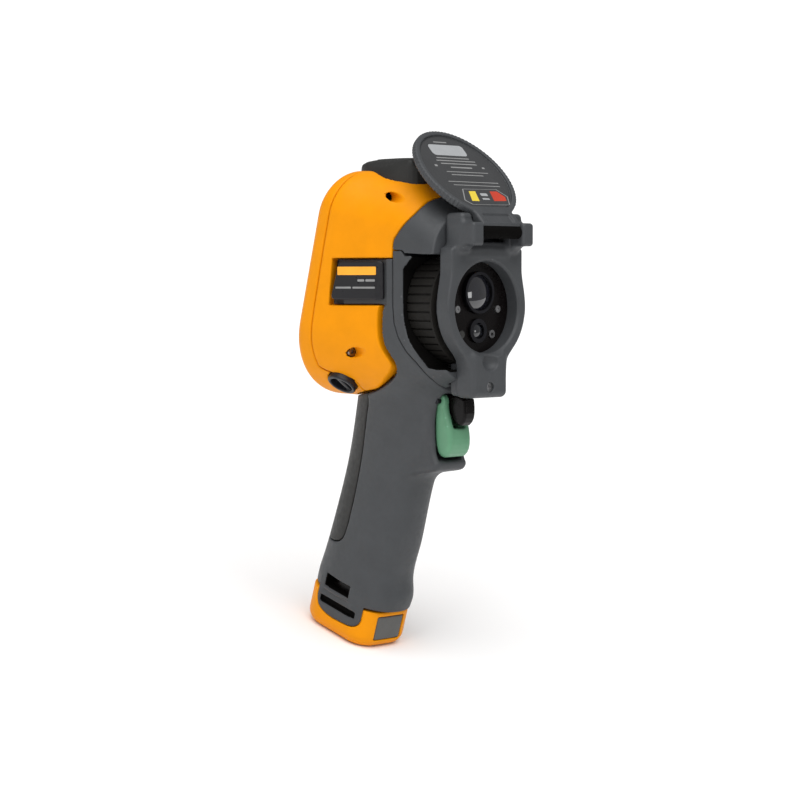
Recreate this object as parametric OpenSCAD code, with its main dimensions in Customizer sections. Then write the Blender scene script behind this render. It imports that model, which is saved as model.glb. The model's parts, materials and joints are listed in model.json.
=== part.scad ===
// Pistol-grip thermal imaging camera, standing on the flat base of its battery.
// Millimetres, +Z up, +Y towards the display. Head parts are drawn in the head's own
// frame: the lens looks along -Y, and the origin is where its axis meets the front ring.

/* [Stance] */
// Height of the lens axis above the battery's base, at the front ring
lens_h = 203.7; // [199:0.1:209]
// How far the front ring's face is ahead of the handle's axis
lens_fwd = 42; // [40:0.5:44]
// Angle of the lens axis above level while the camera stands on its base
head_pitch = 17; // [15:0.5:18]

/* [Head] */
// Half the width of the display end of the head
head_hw = 50; // [49:0.5:52]
// Distance from the front ring's face to the display face, along the lens axis
head_len = 93.6; // [92:0.1:96]
// Lean of the display face from the plane across the lens axis
face_lean = 14; // [12:0.5:15]
// Thickness of the moulded walls
wall = 2.4; // [2:0.1:2.8]
// Depth of the rear case, from the display face to the parting line
rim_depth = 12.5; // [11:0.5:14]

/* [Front ring and focus wheel] */
// Outer radius of the front ring
ring_r = 30; // [29:0.5:31]
// Radius of the lens opening in the front ring
opening_r = 24.2; // [23:0.1:25]
// Depth of the front ring's flange
ring_depth = 8.7; // [8:0.1:9]
// Outer radius of the focus wheel
wheel_r = 31.5; // [31:0.1:32]
// Radius of the focus wheel's bore
wheel_bore_r = 28; // [27.5:0.1:28.5]
// Width of the focus wheel along the lens axis
wheel_w = 19; // [17:0.5:20]
// Distance from the front ring's face to the front of the focus wheel
wheel_y = 11; // [10:0.1:12]
// Number of grooves round the focus wheel
wheel_grooves = 43; // [30:1:48]
// Radial running clearance of the wheel and of the hinge pins
run_clear = 0.05; // [0.02:0.01:0.1]

/* [Lens cover] */
// Angle that the open lens cover makes with the lens axis
cover_lean = 46.8; // [44:0.1:52]
// Radius of the lens cover's disc
cover_r = 31.7; // [30:0.1:33]
// Distance from the cover's hinge to the centre of its disc
cover_reach = 39; // [38:0.5:40]
// Thickness of the lens cover
cover_t = 4; // [3:0.1:4.2]

/* [Display] */
// Width of the display glass
glass_w = 84; // [78:0.5:86]
// Height of the display glass
glass_h = 66; // [62:0.5:68]
// Travel of each button under the display
button_travel = 0.8; // [0.5:0.1:1]

/* [Handle and battery] */
// Half the depth of the grip at its slimmest, front to back
grip_hd = 26.5; // [25:0.5:28]
// Half the width of the grip at its slimmest
grip_hw = 19.5; // [18.5:0.5:21]
// Height of the seam between handle and battery base
base_h = 23; // [21:0.5:25]
// Height of the battery pack's top
battery_top = 115; // [104:1:118]

/* [Triggers] */
// Width of the main trigger
trigger_w = 17; // [15:0.5:18]
// Width of the small upper trigger
small_trigger_w = 8.4; // [7:0.2:9]

/* [Hidden] */

tiny = 0.01;
gap = 0.3;           // clearance between neighbouring pieces that move
seam = 0.1;          // half of a closed seam between fixed pieces
far = 200;           // longer than any piece, for cuts that run right through
fine = 96;           // facets round a large turned shape
medium = 48;         // facets round a small turned shape
arc_steps = 7;       // steps round each corner of a moulded outline

GREY = "#55585b";
DARK = "#3c3b3a";
YELLOW = "#f9a11b";
BLACK = "#151315";
STEEL = "#a9adb0";
GREEN = "#5f9a78";
BOARD = "#1f5b3a";

// ---------------------------------------------------------------- frames of reference
module in_head() { translate([0, -lens_fwd, lens_h]) rotate([-head_pitch, 0, 0]) children(); }
module on_face() { in_head() translate([0, head_len, 0]) rotate([face_lean, 0, 0]) children(); }
module along_lens() { rotate([-90, 0, 0]) children(); }
module both_sides() { for (side = [-1, 1]) scale([side, 1, 1]) children(); }

// A disc, tube or pin whose axis is the lens direction, from y0 to y1
module turned(r, y0, y1, sides = fine) {
    translate([0, y0, 0]) along_lens() cylinder(r = r, h = y1 - y0, $fn = sides);
}
// The same across the camera, from x0 to x1
module pin_across(r, x0, x1, sides = medium) {
    translate([x0, 0, 0]) rotate([0, 90, 0]) cylinder(r = r, h = x1 - x0, $fn = sides);
}
// A block given by its middle in X and its limits in Y and Z
module block(w, y0, y1, z0, z1) { translate([-w / 2, y0, z0]) cube([w, y1 - y0, z1 - z0]); }

// ---------------------------------------------------------------- moulded outlines
// Points of a quarter arc from angle a0, as [x, z]
function arc(cx, cz, r, a0) =
    [for (i = [0:arc_steps]) [cx + r * cos(a0 + 90 * i / arc_steps),
                              cz + r * sin(a0 + 90 * i / arc_steps)]];
// Outline with half width w, top t, bottom b and its two corner radii
function outline(w, t, b, ru, rl) = concat(
    arc(w - ru, t - ru, ru, 0), arc(ru - w, t - ru, ru, 90),
    arc(rl - w, b + rl, rl, 180), arc(w - rl, b + rl, rl, 270));
// A ring of the head: distance along the lens, its lean, then the outline's sizes
function head_ring(s, shrink) = let (
    pts = outline(s[2] - shrink, s[3] - shrink, s[4] + shrink, s[5] - shrink, s[6] - shrink))
    [for (p = pts) [p[0], s[0] - p[1] * sin(s[1]), p[1] * cos(s[1])]];
// A ring of the handle: height, half depth, half width and centre along Y
function grip_ring(s, shrink) = [for (i = [0:4 * arc_steps + 3])
    let (a = -360 * (i + 0.5) / (4 * arc_steps + 4), c = cos(a), d = sin(a), n = 2 / 2.3)
    [sign(c) * pow(abs(c), n) * (s[2] - shrink),
     s[3] + sign(d) * pow(abs(d), n) * (s[1] - shrink), s[0]]];
// Skin through rings that have the same number of points
module loft(rings) {
    n = len(rings[0]);
    m = len(rings);
    polyhedron(points = [for (r = rings) each r],
        faces = concat([[for (i = [n - 1:-1:0]) i]],
            [for (k = [0:m - 2], i = [0:n - 1]) let (j = (i + 1) % n)
                each [[k * n + i, k * n + j, (k + 1) * n + j],
                      [k * n + i, (k + 1) * n + j, (k + 1) * n + i]]],
            [[for (i = [0:n - 1]) (m - 1) * n + i]]), convexity = 6);
}

head_top = 75;
head_bottom = -50;
part_y = head_len - rim_depth * cos(face_lean);
// Along the lens, lean, half width, top, bottom, upper and lower corner radius
HEAD = [
    [9, 0, 32.5, 50, -40, 25, 30],
    [24, 0, 35, 61, -45, 26, 32],
    [38, 2, 37.5, 67, -48, 26, 34],
    [60, 8, 43.5, 71, -50, 25, 39],
    [part_y, face_lean, head_hw, head_top, head_bottom, 24, 42],
    [head_len - 6, face_lean, head_hw, head_top, head_bottom, 24, 42],
    [head_len - 2, face_lean, head_hw - 2.2, head_top - 2.2, head_bottom + 2.2, 22, 40],
    [head_len, face_lean, head_hw - 6, head_top - 6, head_bottom + 6, 18, 36]];
// Height, half depth, half width, centre
GRIP = [
    [base_h, grip_hd + 2.6, grip_hw + 2, 1.6],
    [30, grip_hd + 3, grip_hw + 2, 1.2],
    [40, grip_hd + 1, grip_hw + 1.2, 2],
    [63, grip_hd + 0.5, grip_hw + 0.4, 1],
    [100, grip_hd, grip_hw, 0.7],
    [127, grip_hd + 2.5, grip_hw + 1.5, 0],
    [153, grip_hd + 6, grip_hw + 4, -1]];

module head_solid() { loft([for (s = HEAD) head_ring(s, 0)]); }
// The space inside the walls, open at the front
module head_cavity() {
    front = HEAD[0];
    back = HEAD[4];
    loft(concat([head_ring(concat([front[0] - 3 * wall], [for (i = [1:6]) front[i]]), wall)],
        [for (k = [1:4]) head_ring(HEAD[k], wall)],
        [head_ring(concat([head_len - wall], [for (i = [1:6]) back[i]]), wall)]));
}
module grip_solid(shrink) { loft([for (s = GRIP) grip_ring(s, shrink)]); }
// A side-view shape cut right across the camera; points are [y, z]
module prism(points, w = far) {
    rotate([90, 0, 90]) linear_extrude(w, center = true) polygon(points);
}

// ---------------------------------------------------------------- where the shells part
// Front edge of the yellow shell from top to bottom, then round behind the head
YELLOW_REGION = [[20.6, 99], [20.6, 58.6], [22.2, 55.8], [22.7, 53], [23.8, 49.4], [25.4, 46.8],
    [28.3, 43], [31.5, 38.4], [34.3, 35.2], [34.5, 26], [37, 17], [42.4, 2.3], [43.8, -4],
    [43.8, -15.5], [42.1, -22.5], [39.6, -27], [38.6, -30.7], [41.9, -34.3], [47.4, -37.9],
    [57.1, -43.8], [80, -51.5], [80, -80], [160, -80], [160, 99]];
function part_line(z) = part_y - gap - z * tan(face_lean);
// Everything behind the parting line of the rear case
REAR_REGION = [[part_line(99), 99], [part_line(-31), -31], [82.6, -35.3], [69.8, -38],
    [68.4, -41], [74, -50], [75, -80], [160, -80], [160, 99]];
// The guard behind and below the focus wheel, and the cap over it
GUARD_EDGE = [[34.4, 30], [34.4, 0.8], [33.7, -8.4], [31.3, -15.2], [27.1, -23.2], [23.1, -28.9],
    [21.8, -32.3], [20.5, -38.6]];
GUARD_REGION = concat([[9, 27.2], [27, 27.2], [29.2, 30]], GUARD_EDGE, [[9, -38.6]]);
DOME_REGION = [[0, 27.5], [26.8, 27.5], [29, 30.3], [60, 30.3], [60, 99], [0, 99]];
DOME_AND_GUARD = concat([[0, 99], [60, 99], [60, 30]], GUARD_EDGE, [[0, -38.6]]);
// The finger window at each side of the focus wheel
WINDOW = [[0, 26.9], [28.2, 26.9], [28.2, 0], [27.4, -8], [25.2, -15.8], [21.4, -23.7],
    [18.6, -29.3], [18.2, -32.6], [0, -32.6]];
// The strip at the back of the handle
STRIP_REGION = [[9, 153], [9, 131], [6.5, 103], [5.8, 78], [5.8, 62], [8.5, 54], [15, 50.5],
    [60, 49.5], [60, 153]];

// ---------------------------------------------------------------- triggers
trigger_axis = [27, -50];     // y, z of the pin that both triggers hang on
trigger_pin_r = 1.5;
pocket_hw = trigger_w / 2 + 0.5;
chin_hw = pocket_hw + wall;
CHIN = [[31, -40], [31, -70], [30.5, -79], [24.5, -83], [23, -84.6], [24, -87], [38, -90.4],
    [52, -92.5], [70, -92], [70, -40]];
POCKET = [[0, -46], [0, -82], [25, -82.4], [33.5, -80.6], [39.3, -76.5], [39.3, -46]];
TRIGGER = [[24, -52], [22, -60], [19.8, -66], [19.4, -72], [20.6, -77], [24, -80.3],
    [28.5, -79], [31, -74], [31.5, -60], [31, -48], [24, -48]];
SMALL_TRIGGER = [[13, -47.4], [12.2, -55], [13.4, -60], [17, -63.4], [21.2, -61.4],
    [24, -56], [29.5, -53], [30.5, -47.4]];
module cross_pin(yz, r, half) { translate([0, yz[0], yz[1]]) pin_across(r, -half, half); }

// ---------------------------------------------------------------- hinge of the lens cover
cover_axis = [-7.5, 39.5];    // y, z of the cover's hinge pin
cover_pin_r = 1.6;
lug_x = 15;                   // inner face of each lug
lug_w = 8.4;
lug_r = 4.6;                  // round of each lug about the pin
module at_cover() {
    translate([0, cover_axis[0], cover_axis[1]]) rotate([cover_lean, 0, 0]) children();
}

// ---------------------------------------------------------------- top cover and port door
door_axis = [46.6, 77.6];     // y, z of the door's hinge pin
door_hw = 14;
door_pin_r = 0.8;
// Side view of the top cover, and the left half of its plan as half width and y
TOP_REGION = [[30.8, 50], [30.8, 67], [33, 74], [37, 78.6], [40, 79.5], [69, 79.5],
    [74.6, 75.4], [74.6, 50]];
TOP_PLAN = [[8.4, 31.6], [17.5, 33], [21.5, 36.6], [24.1, 41.4], [26, 45.6], [27.4, 53],
    [26.8, 62], [24.5, 70], [20, 75.5]];
top_bevel_x = 25.4;           // middle of the block that bevels each long edge
// The bay under the door, down through the head's wall
bay_y = [48.4, 66.6];
bay_z = [61.5, 90];
DOOR = [[48.2, 77.4], [48.2, 79.5], [68.6, 79.5], [72, 77.2], [71.4, 76], [67, 77.4]];

// ---------------------------------------------------------------- battery
battery_hd = 22.8;
battery_hw = 15.8;
battery_yc = 1;
base_front = -23.5;
base_back = 31;
base_hw = 20;
front_r = 14;                 // corner radii of the base in plan
back_r = 18;
base_round = 4.2;             // bottom edge of the base

// The tongue that the handle sends down each side of the base, with its slit and strap slot
TONGUE = [[-21, 26], [-19.2, 21], [-17, 14], [-14, 11], [-8, 10.2], [5, 9.6], [14, 11.8],
    [17.4, 16.5], [17.2, 22], [18, 26]];
tongue_in = 17.4;
slit_y = [-13.5, 14.8];
slit_z = [15.4, 19.2];
strap_slot = [[-7.2, 25.4], [12.8, 25.4], [12.8, 32.6], [-7.2, 32.2]];

// ---------------------------------------------------------------- badges on the sides
badge_mid = [43.1, 55.8, 13.2];
badge_size = [1.8, 31, 19];
badge_turn = 17.4;
badge_sink = 1.2;
module at_badge(side) {
    translate([side * badge_mid[0], badge_mid[1], badge_mid[2]])
        rotate([0, 0, -side * badge_turn]) children();
}
// The pocket in the wall that the badge sits in
module badge_pockets() {
    for (side = [-1, 1]) at_badge(side) translate([side * (3 - badge_sink), 0, 0])
        cube([6, badge_size[1] + 2, badge_size[2] + 2], center = true);
}

// ================================================================ outer shells
module front_housing() color(GREY) {
    difference() {
        union() {
            in_head() difference() {
                head_solid();
                prism(YELLOW_REGION);
                prism(DOME_AND_GUARD);
                head_cavity();
            }
            difference() {
                intersection() {
                    prism(TONGUE);
                    translate([0, 0, tiny]) linear_extrude(base_h + 1) base_plan(0);
                }
                block(2 * tongue_in, -far, far, 0, base_h + 3);
            }
            difference() {
                union() {
                    grip_solid(0);
                    in_head() prism(CHIN, 2 * chin_hw);
                }
                grip_solid(wall);
                in_head() head_cavity();
                in_head() prism(POCKET, 2 * pocket_hw);
            }
        }
        in_head() cross_pin(trigger_axis, trigger_pin_r, far / 2);
        in_head() badge_pockets();
        in_head() block(2 * foot_hw + 2 * seam, 0, foot_back + seam, -60, -20);
        block(far, slit_y[0], slit_y[1], slit_z[0], slit_z[1]);
        prism(strap_slot);
        prism(STRIP_REGION);
        for (z = screw_heights) translate([0, 0, z]) rotate([-90, 0, 0])
            cylinder(r = screw_r, h = far / 4, $fn = medium);
    }
}
// The grey cap over the focus wheel
module front_dome() color(GREY) {
    in_head() difference() {
        intersection() {
            head_solid();
            prism(DOME_REGION);
        }
        prism(YELLOW_REGION);
        head_cavity();
    }
}
screw_heights = [67, 121];
screw_r = 1.5;
screw_head_r = 2.6;

module handle_rear_cover() color(DARK) {
    difference() {
        intersection() {
            grip_solid(0);
            prism(STRIP_REGION);
        }
        grip_solid(wall);
        in_head() head_solid();
        for (z = screw_heights) translate([0, 0, z]) rotate([-90, 0, 0])
            cylinder(r = screw_head_r + seam, h = far / 4, $fn = medium);
    }
}

module port_bay(spare) {
    block(2 * door_hw - 3 + 2 * spare, bay_y[0] - spare, bay_y[1] + spare, bay_z[0], bay_z[1]);
}
// The deep screws that hold the rear case: x, z, where the pocket ends, where the boss ends,
// and the x and z that the rib from the boss reaches
CASE_SCREWS = [[30.5, 58, 61, 73.4, 30.5, 73], [37.8, -24, 66, 90, 46, -24]];
screw_boss_r = 4.4;
screw_floor = 2.6;            // wall between a pocket's end and the open boss
rib_hw = 1;
module screw_bosses() {
    for (side = [-1, 1], s = CASE_SCREWS) {
        translate([side * s[0], 0, s[1]]) turned(screw_boss_r, 30, s[3], medium);
        hull() {
            translate([side * s[0], 0, s[1]]) block(2 * rib_hw, 40, s[3], -rib_hw, rib_hw);
            translate([side * s[4], 0, s[5]]) block(2 * rib_hw, 40, s[3], -rib_hw, rib_hw);
        }
    }
}
module screw_pockets() {
    for (side = [-1, 1], s = CASE_SCREWS) translate([side * s[0], 0, s[1]]) {
        turned(screw_head_r + seam, 0, s[2], medium);
        turned(screw_r, 0, far, medium);
    }
}
module anchor_pockets() {
    for (side = [-1, 1]) at_anchor(side)
        cylinder(r = anchor_r + seam, h = 2 * anchor_deep + 1, center = true, $fn = medium);
}
module yellow_shell() {
    difference() {
        intersection() {
            head_solid();
            prism(YELLOW_REGION);
        }
        difference() {
            head_cavity();
            screw_bosses();
        }
        port_bay(seam);
        screw_pockets();
        anchor_pockets();
    }
}
module side_shroud() color(YELLOW) {
    difference() {
        in_head() difference() {
            yellow_shell();
            prism(REAR_REGION);
            badge_pockets();
        }
        grip_solid(-seam);
    }
}

// Outline of the window for the glass, in the plane of the display face
glass_mid_z = 27;
button_z = -22;
button_r = 6.4;
button_step = 21;
module rear_case() color(YELLOW) {
    difference() {
        in_head() intersection() {
            yellow_shell();
            prism(REAR_REGION);
        }
        on_face() block(glass_w + 2 * seam, -2 * wall, 1, glass_mid_z - glass_h / 2 - seam,
            glass_mid_z + glass_h / 2 + seam);
        on_face() for (k = [-1:1]) translate([k * button_step, 0, button_z])
            turned(button_r + gap, -2 * wall, 1, medium);
        grip_solid(-seam);
    }
}

anchor_r = 8.2;
anchor_deep = 6;              // how far the anchor reaches into the case
anchor_tilt = 36;
module at_anchor(side) {
    translate([side * 31.8, 78.4, -42]) rotate([0, side * (180 - anchor_tilt), 0]) children();
}
module strap_anchor(side) color(DARK) {
    in_head() at_anchor(side) difference() {
        translate([0, 0, -anchor_deep]) cylinder(r = anchor_r, h = anchor_deep + 0.6, $fn = medium);
        difference() {
            translate([0, 0, -4]) cylinder(r = anchor_r - 1.6, h = 5, $fn = medium);
            translate([0, 0, -2]) cube([2 * anchor_r, 3, 2.6], center = true);
        }
    }
}
module strap_anchor_left() { strap_anchor(-1); }
module strap_anchor_right() { strap_anchor(1); }

// Each guard leaves a finger window in front of it, where the focus wheel shows
module guard(side) color(GREY) {
    in_head() difference() {
        intersection() {
            head_solid();
            prism(GUARD_REGION);
            translate([side * far / 2, 0, 0]) block(far, -far, far, -far, far);
        }
        turned(wheel_r + 2 * gap, 8, wheel_y + wheel_w + gap);
        head_cavity();
        prism(WINDOW);
        block(2 * foot_hw + 2 * seam, 0, foot_back + seam, -60, -20);
        prism(YELLOW_REGION);
    }
}
module guard_left() { guard(-1); }
module guard_right() { guard(1); }

// ================================================================ front ring and optics
plate_y = 8.2;                // front face of the black faceplate
lens_z = 7.7;                 // height of the infrared lens above the ring's centre
lens_cell_r = 11;
bezel_screw_z = -42;
screw_r_small = 1.2;
foot_hw = 13;                 // the foot below the ring
foot_z = -46.5;
foot_back = 16;
module front_bezel() color(GREY) {
    lug_back = 6.4;
    in_head() difference() {
        union() {
            turned(ring_r, 0, ring_depth);
            block(2 * ring_r - 6.6, 0, ring_depth, 0, 31);
            block(2 * foot_hw, -2, foot_back, foot_z, -27);
            for (side = [-1, 1]) translate([side * (lug_x + lug_w / 2), 0, 0]) {
                block(lug_w, cover_axis[0] - 4.3, lug_back, 32.3, 44);
                block(lug_w, -3, lug_back, 30, 48);
                translate([0, cover_axis[0], cover_axis[1]])
                    pin_across(lug_r, -lug_w / 2, lug_w / 2);
            }
        }
        turned(opening_r, -3, ring_depth + 1);
        turned(wheel_r + 2 * gap, ring_depth, 20);
        cross_pin(cover_axis, cover_pin_r, far / 2);
        translate([0, 0, bezel_screw_z]) turned(screw_head_r, -3, 1, medium);
        translate([0, 0, bezel_screw_z]) turned(screw_r, -3, 12, medium);
    }
}
module bezel_screw() color(STEEL) {
    in_head() translate([0, 0, bezel_screw_z]) difference() {
        union() {
            turned(screw_head_r - seam, -0.8, 0.9, medium);
            turned(screw_r - seam, 0, 11, medium);
        }
        turned(1.2, -1, 0.2, 6);
    }
}

module lens_plate() color(BLACK) {
    in_head() difference() {
        turned(opening_r - seam, plate_y, plate_y + 2);
        translate([0, 0, lens_z]) turned(lens_cell_r + gap, plate_y - 1, plate_y + 3);
        at_camera() turned(camera_r + seam, plate_y - 1, plate_y + 3, medium);
        at_laser() turned(laser_r + seam, plate_y - 1, plate_y + 3, medium);
        at_torch() turned(laser_r + seam, plate_y - 1, plate_y + 3, medium);
        at_plate_screws() turned(screw_r_small, plate_y - 1, plate_y + 3, medium);
    }
}
camera_r = 6.4;
laser_r = 2.2;
module at_camera() { translate([0, 0, -12.4]) children(); }
module at_laser() { translate([11.5, 0, -14.3]) children(); }
module at_torch() { translate([-11.5, 0, -14.3]) children(); }
module at_plate_screws() { for (side = [-1, 1]) translate([side * 15.5, 0, -1]) children(); }
module faceplate_screws() color(STEEL) {
    in_head() at_plate_screws() difference() {
        union() {
            turned(1.9, plate_y - 1.1, plate_y - seam / 10, medium);
            turned(screw_r_small - seam, plate_y - 0.2, plate_y + 5, medium);
        }
        turned(0.8, plate_y - 1.5, plate_y - 0.5, 6);
    }
}

barrel_r = wheel_bore_r - run_clear;
module lens_barrel() color(BLACK) {
    in_head() difference() {
        union() {
            turned(barrel_r, plate_y + 2.1, 34);
            turned(barrel_r + 2.2, 30.6, 34);
        }
        turned(barrel_r - 2, plate_y, 32);
        turned(lens_cell_r + 6, 31, 35);
    }
}
module focus_wheel() color(DARK) {
    groove_w = 1.1;
    in_head() difference() {
        turned(wheel_r, wheel_y, wheel_y + wheel_w);
        turned(wheel_bore_r, wheel_y - 1, wheel_y + 1 + wheel_w);
        for (k = [0:wheel_grooves - 1]) rotate([0, 360 * k / wheel_grooves, 0])
            translate([wheel_r, 0, 0]) block(2, wheel_y + 1.2, wheel_y - 0.8 + wheel_w, -groove_w / 2,
                groove_w / 2);
    }
}
module ir_lens_cell() color(BLACK) {
    in_head() translate([0, 0, lens_z]) difference() {
        turned(lens_cell_r, 5.6, 28);
        turned(lens_cell_r - 1.5, 5, 9.4);
        turned(lens_cell_r - 3, 9, 24.4);
        turned(lens_cell_r - 2, 24, 29);
    }
}
module ir_lens_front() color("#2b2f38") {
    in_head() translate([0, 0, lens_z]) intersection() {
        turned(lens_cell_r - 1.5 - seam, 5.8, 9.3);
        translate([0, 5.9 + 26, 0]) sphere(r = 26, $fn = fine);
    }
}
module ir_lens_rear() color("#2b2f38") {
    in_head() translate([0, 0, lens_z]) turned(lens_cell_r - 2 - seam, 24.5, 27.2);
}

sensor_y = 42;
module shutter_housing() color(BLACK) {
    in_head() translate([0, 0, lens_z]) difference() {
        block(40, 34.4, 39, -15, 15);
        turned(shutter_window_r, 34, 40);
        block(36.8, 36, 39.4, -13.4, 13.4);
    }
}
shutter_window_r = 5.5;
shutter_axis = [11.5, -10];   // x, z of the blade's pivot from the middle of its window
module shutter_blade() color(STEEL) {
    y0 = 36.6;
    y1 = 37.2;
    in_head() translate([shutter_axis[0], 0, lens_z + shutter_axis[1]]) difference() {
        union() {
            turned(2.4, y0, y1, medium);
            block(4, y0, y1, 0, 11);
            translate([0, 0, norm(shutter_axis)]) turned(shutter_window_r + 0.5, y0, y1, medium);
        }
        turned(1.2, 36, 38, medium);
    }
}
module ir_sensor() color(BOARD) {
    in_head() translate([0, 0, lens_z]) {
        block(30, sensor_y, sensor_y + 1.6, -15, 15);
        block(13, sensor_y - 2.4, sensor_y, -6.5, 6.5);
    }
}

module camera_module() color(BLACK) {
    in_head() at_camera() difference() {
        union() {
            turned(camera_r, 6.6, 13, medium);
            block(11, 13, 20, -5.5, 5.5);
        }
        turned(4.2, 6, 10, medium);
    }
}
module camera_lens() color("#11151c") {
    in_head() at_camera() intersection() {
        turned(4.2 - seam, 6.8, 9.9, medium);
        translate([0, 6.9 + 8, 0]) sphere(r = 8, $fn = medium);
    }
}
module laser_module() color(STEEL) {
    in_head() at_laser() difference() {
        turned(laser_r, 7.6, 24, medium);
        turned(0.9, 7, 10, medium);
    }
}
module torch_led() color("#2a2a28") {
    in_head() at_torch() {
        turned(laser_r, 8, 13, medium);
        turned(laser_r - 0.6, 7.4, 8, medium);
    }
}

// ================================================================ inside the head
module chassis() color(STEEL) {
    in_head() difference() {
        union() {
            block(56, 46, 48, -30, 48);
            for (side = [-1, 1]) translate([side * 27, 0, 0]) block(2, 46, 64, -20, 40);
        }
        translate([0, 0, lens_z]) block(20, 45, 49, -10, 10);
    }
}
module main_board() color(BOARD) {
    on_face() {
        block(64, -17.6, -16, -30, 56);
        translate([14, 0, 0]) block(18, -16, -14, 10, 28);
        translate([-18, 0, 0]) block(14, -16, -14, 30, 44);
        translate([-12, 0, 0]) block(24, -16, -13.5, -12, 2);
    }
}
module display_panel() color(BLACK) {
    on_face() block(78, -9, -4.6, glass_mid_z - 28, glass_mid_z + 28);
}
module display_gasket() color(BLACK) {
    on_face() difference() {
        block(86, -4.5, -2.5, glass_mid_z - 34, glass_mid_z + 34);
        block(76, -5, -2, glass_mid_z - 29, glass_mid_z + 29);
    }
}
module display_glass() color("#0c0e12") {
    on_face() block(glass_w, -2.4, -0.9, glass_mid_z - glass_h / 2, glass_mid_z + glass_h / 2);
}
module keypad() color(DARK) {
    on_face() difference() {
        block(66, -7.6, -5.4, button_z - 9, button_z + 9);
        for (k = [-1:1]) translate([k * button_step, 0, button_z]) turned(1.4, -9, -5, medium);
    }
}
module button(k) {
    on_face() translate([k * button_step, 0, button_z]) {
        turned(button_r, -3.4, 0.6, medium);
        turned(button_r + 1.2, -4.2, -3.2, medium);
    }
}
module menu_button() color(DARK) button(-1);
module power_button() color(DARK) button(0);
module back_button() color(DARK) button(1);
module speaker() color(BLACK) {
    in_head() translate([-20, 0, -28]) turned(7, 52, 56, medium);
}

// ================================================================ top cover and ports
module top_cover() color(DARK) {
    in_head() difference() {
        intersection() {
            prism(TOP_REGION);
            linear_extrude(far, center = true) polygon(concat(
                [for (p = TOP_PLAN) p], [for (i = [len(TOP_PLAN) - 1:-1:0])
                    [-TOP_PLAN[i][0], TOP_PLAN[i][1]]]));
        }
        for (side = [-1, 1]) translate([side * top_bevel_x, 0, 79.5]) rotate([0, side * 45, 0])
            block(9, 0, 90, -far / 20, far / 20);
        head_solid();
        port_bay(-seam);
        prism([[44.8, 77], [44.8, 90], [76, 90], [76, 75.2], [71, 75.2], [67, 77]],
            2 * door_hw + 2 * gap);
        cross_pin(door_axis, door_pin_r, door_hw + 2.6);
        translate([0, door_axis[0], door_axis[1]]) pin_across(2.2, -door_hw - gap, door_hw + gap);
    }
}
module port_door() color(DARK) {
    in_head() difference() {
        union() {
            prism(DOOR, 2 * door_hw);
            for (side = [-1, 1]) translate([side * (door_hw - 3), 0, 0]) {
                block(5, door_axis[0], 50, door_axis[1] - 0.4, 79.5);
                translate([0, door_axis[0], door_axis[1]]) pin_across(1.7, -2.5, 2.5);
            }
        }
        cross_pin(door_axis, door_pin_r + run_clear, far / 2);
    }
}
module port_hinge_pin() color(STEEL) { in_head() cross_pin(door_axis, door_pin_r, door_hw + 2.4); }
module usb_port() color(STEEL) {
    in_head() translate([-6, 0, 0]) difference() {
        block(9, 50, 54.4, 58, 65);
        block(7.8, 50.6, 53.8, 60, 66);
    }
}
module card_slot() color(STEEL) {
    in_head() translate([1, 0, 0]) difference() {
        block(22, 58, 62, 58, 65);
        block(20, 58.8, 61.2, 60, 66);
    }
}

// ================================================================ lens cover
module lens_cover() color(GREY) {
    root_hw = lug_x - gap;
    root_in = root_hw - seam;
    panel_r = cover_r - 3;
    in_head() at_cover() difference() {
        union() {
            translate([0, cover_reach, 0.9]) cylinder(r = cover_r, h = cover_t, $fn = fine);
            translate([0, 0, 0.9]) linear_extrude(cover_t)
                polygon([[-root_in, 2], [root_in, 2], [root_in, 11.6], [24, 22], [-24, 22],
                    [-root_in, 11.6]]);
            pin_across(3.4, -root_hw, root_hw);
            block(2 * root_hw, 0, 6, -3.4, 0.9 + cover_t);
        }
        translate([0, cover_reach, 0.9 + cover_t - 1.2]) cylinder(r = panel_r, h = 2, $fn = fine);
        pin_across(cover_pin_r + run_clear, -far / 2, far / 2);
    }
}
module lens_cover_label() color("#4a4d4f") {
    in_head() at_cover() translate([0, cover_reach, 0.9 + cover_t - 1.19])
        cylinder(r = cover_r - 3.2, h = 0.5, $fn = fine);
}
module cover_hinge_pin() color(STEEL) {
    in_head() cross_pin(cover_axis, cover_pin_r, lug_x + lug_w - 1);
}

// ================================================================ triggers
trigger_slot_hw = small_trigger_w / 2 + gap;
module primary_trigger() color(GREEN) {
    in_head() difference() {
        union() {
            prism(TRIGGER, trigger_w);
            cross_pin(trigger_axis, 3.6, trigger_w / 2);
        }
        prism([[0, -40], [0, -64.4], [25.5, -64.4], [36, -60], [36, -40]], 2 * trigger_slot_hw);
        cross_pin(trigger_axis, trigger_pin_r + run_clear, far / 2);
    }
}
module secondary_trigger() color(BLACK) {
    in_head() difference() {
        prism(SMALL_TRIGGER, small_trigger_w);
        cross_pin(trigger_axis, trigger_pin_r + run_clear, far / 2);
    }
}
module trigger_pin() color(STEEL) {
    in_head() cross_pin(trigger_axis, trigger_pin_r, chin_hw - 0.4);
}
module trigger_springs() color(STEEL) {
    spring_hw = 5.9;
    in_head() for (side = [-1, 1]) translate([side * spring_hw, trigger_axis[0] + 5.4, -58])
        turned(1, 0, 4.4, medium);
}
module trigger_switches() color(BLACK) {
    in_head() {
        block(16, 37.1, 39, -74, -50);
        for (z = [-56, -68]) translate([0, 0, z]) turned(1.6, 36.1, 37.2, medium);
    }
}

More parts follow.
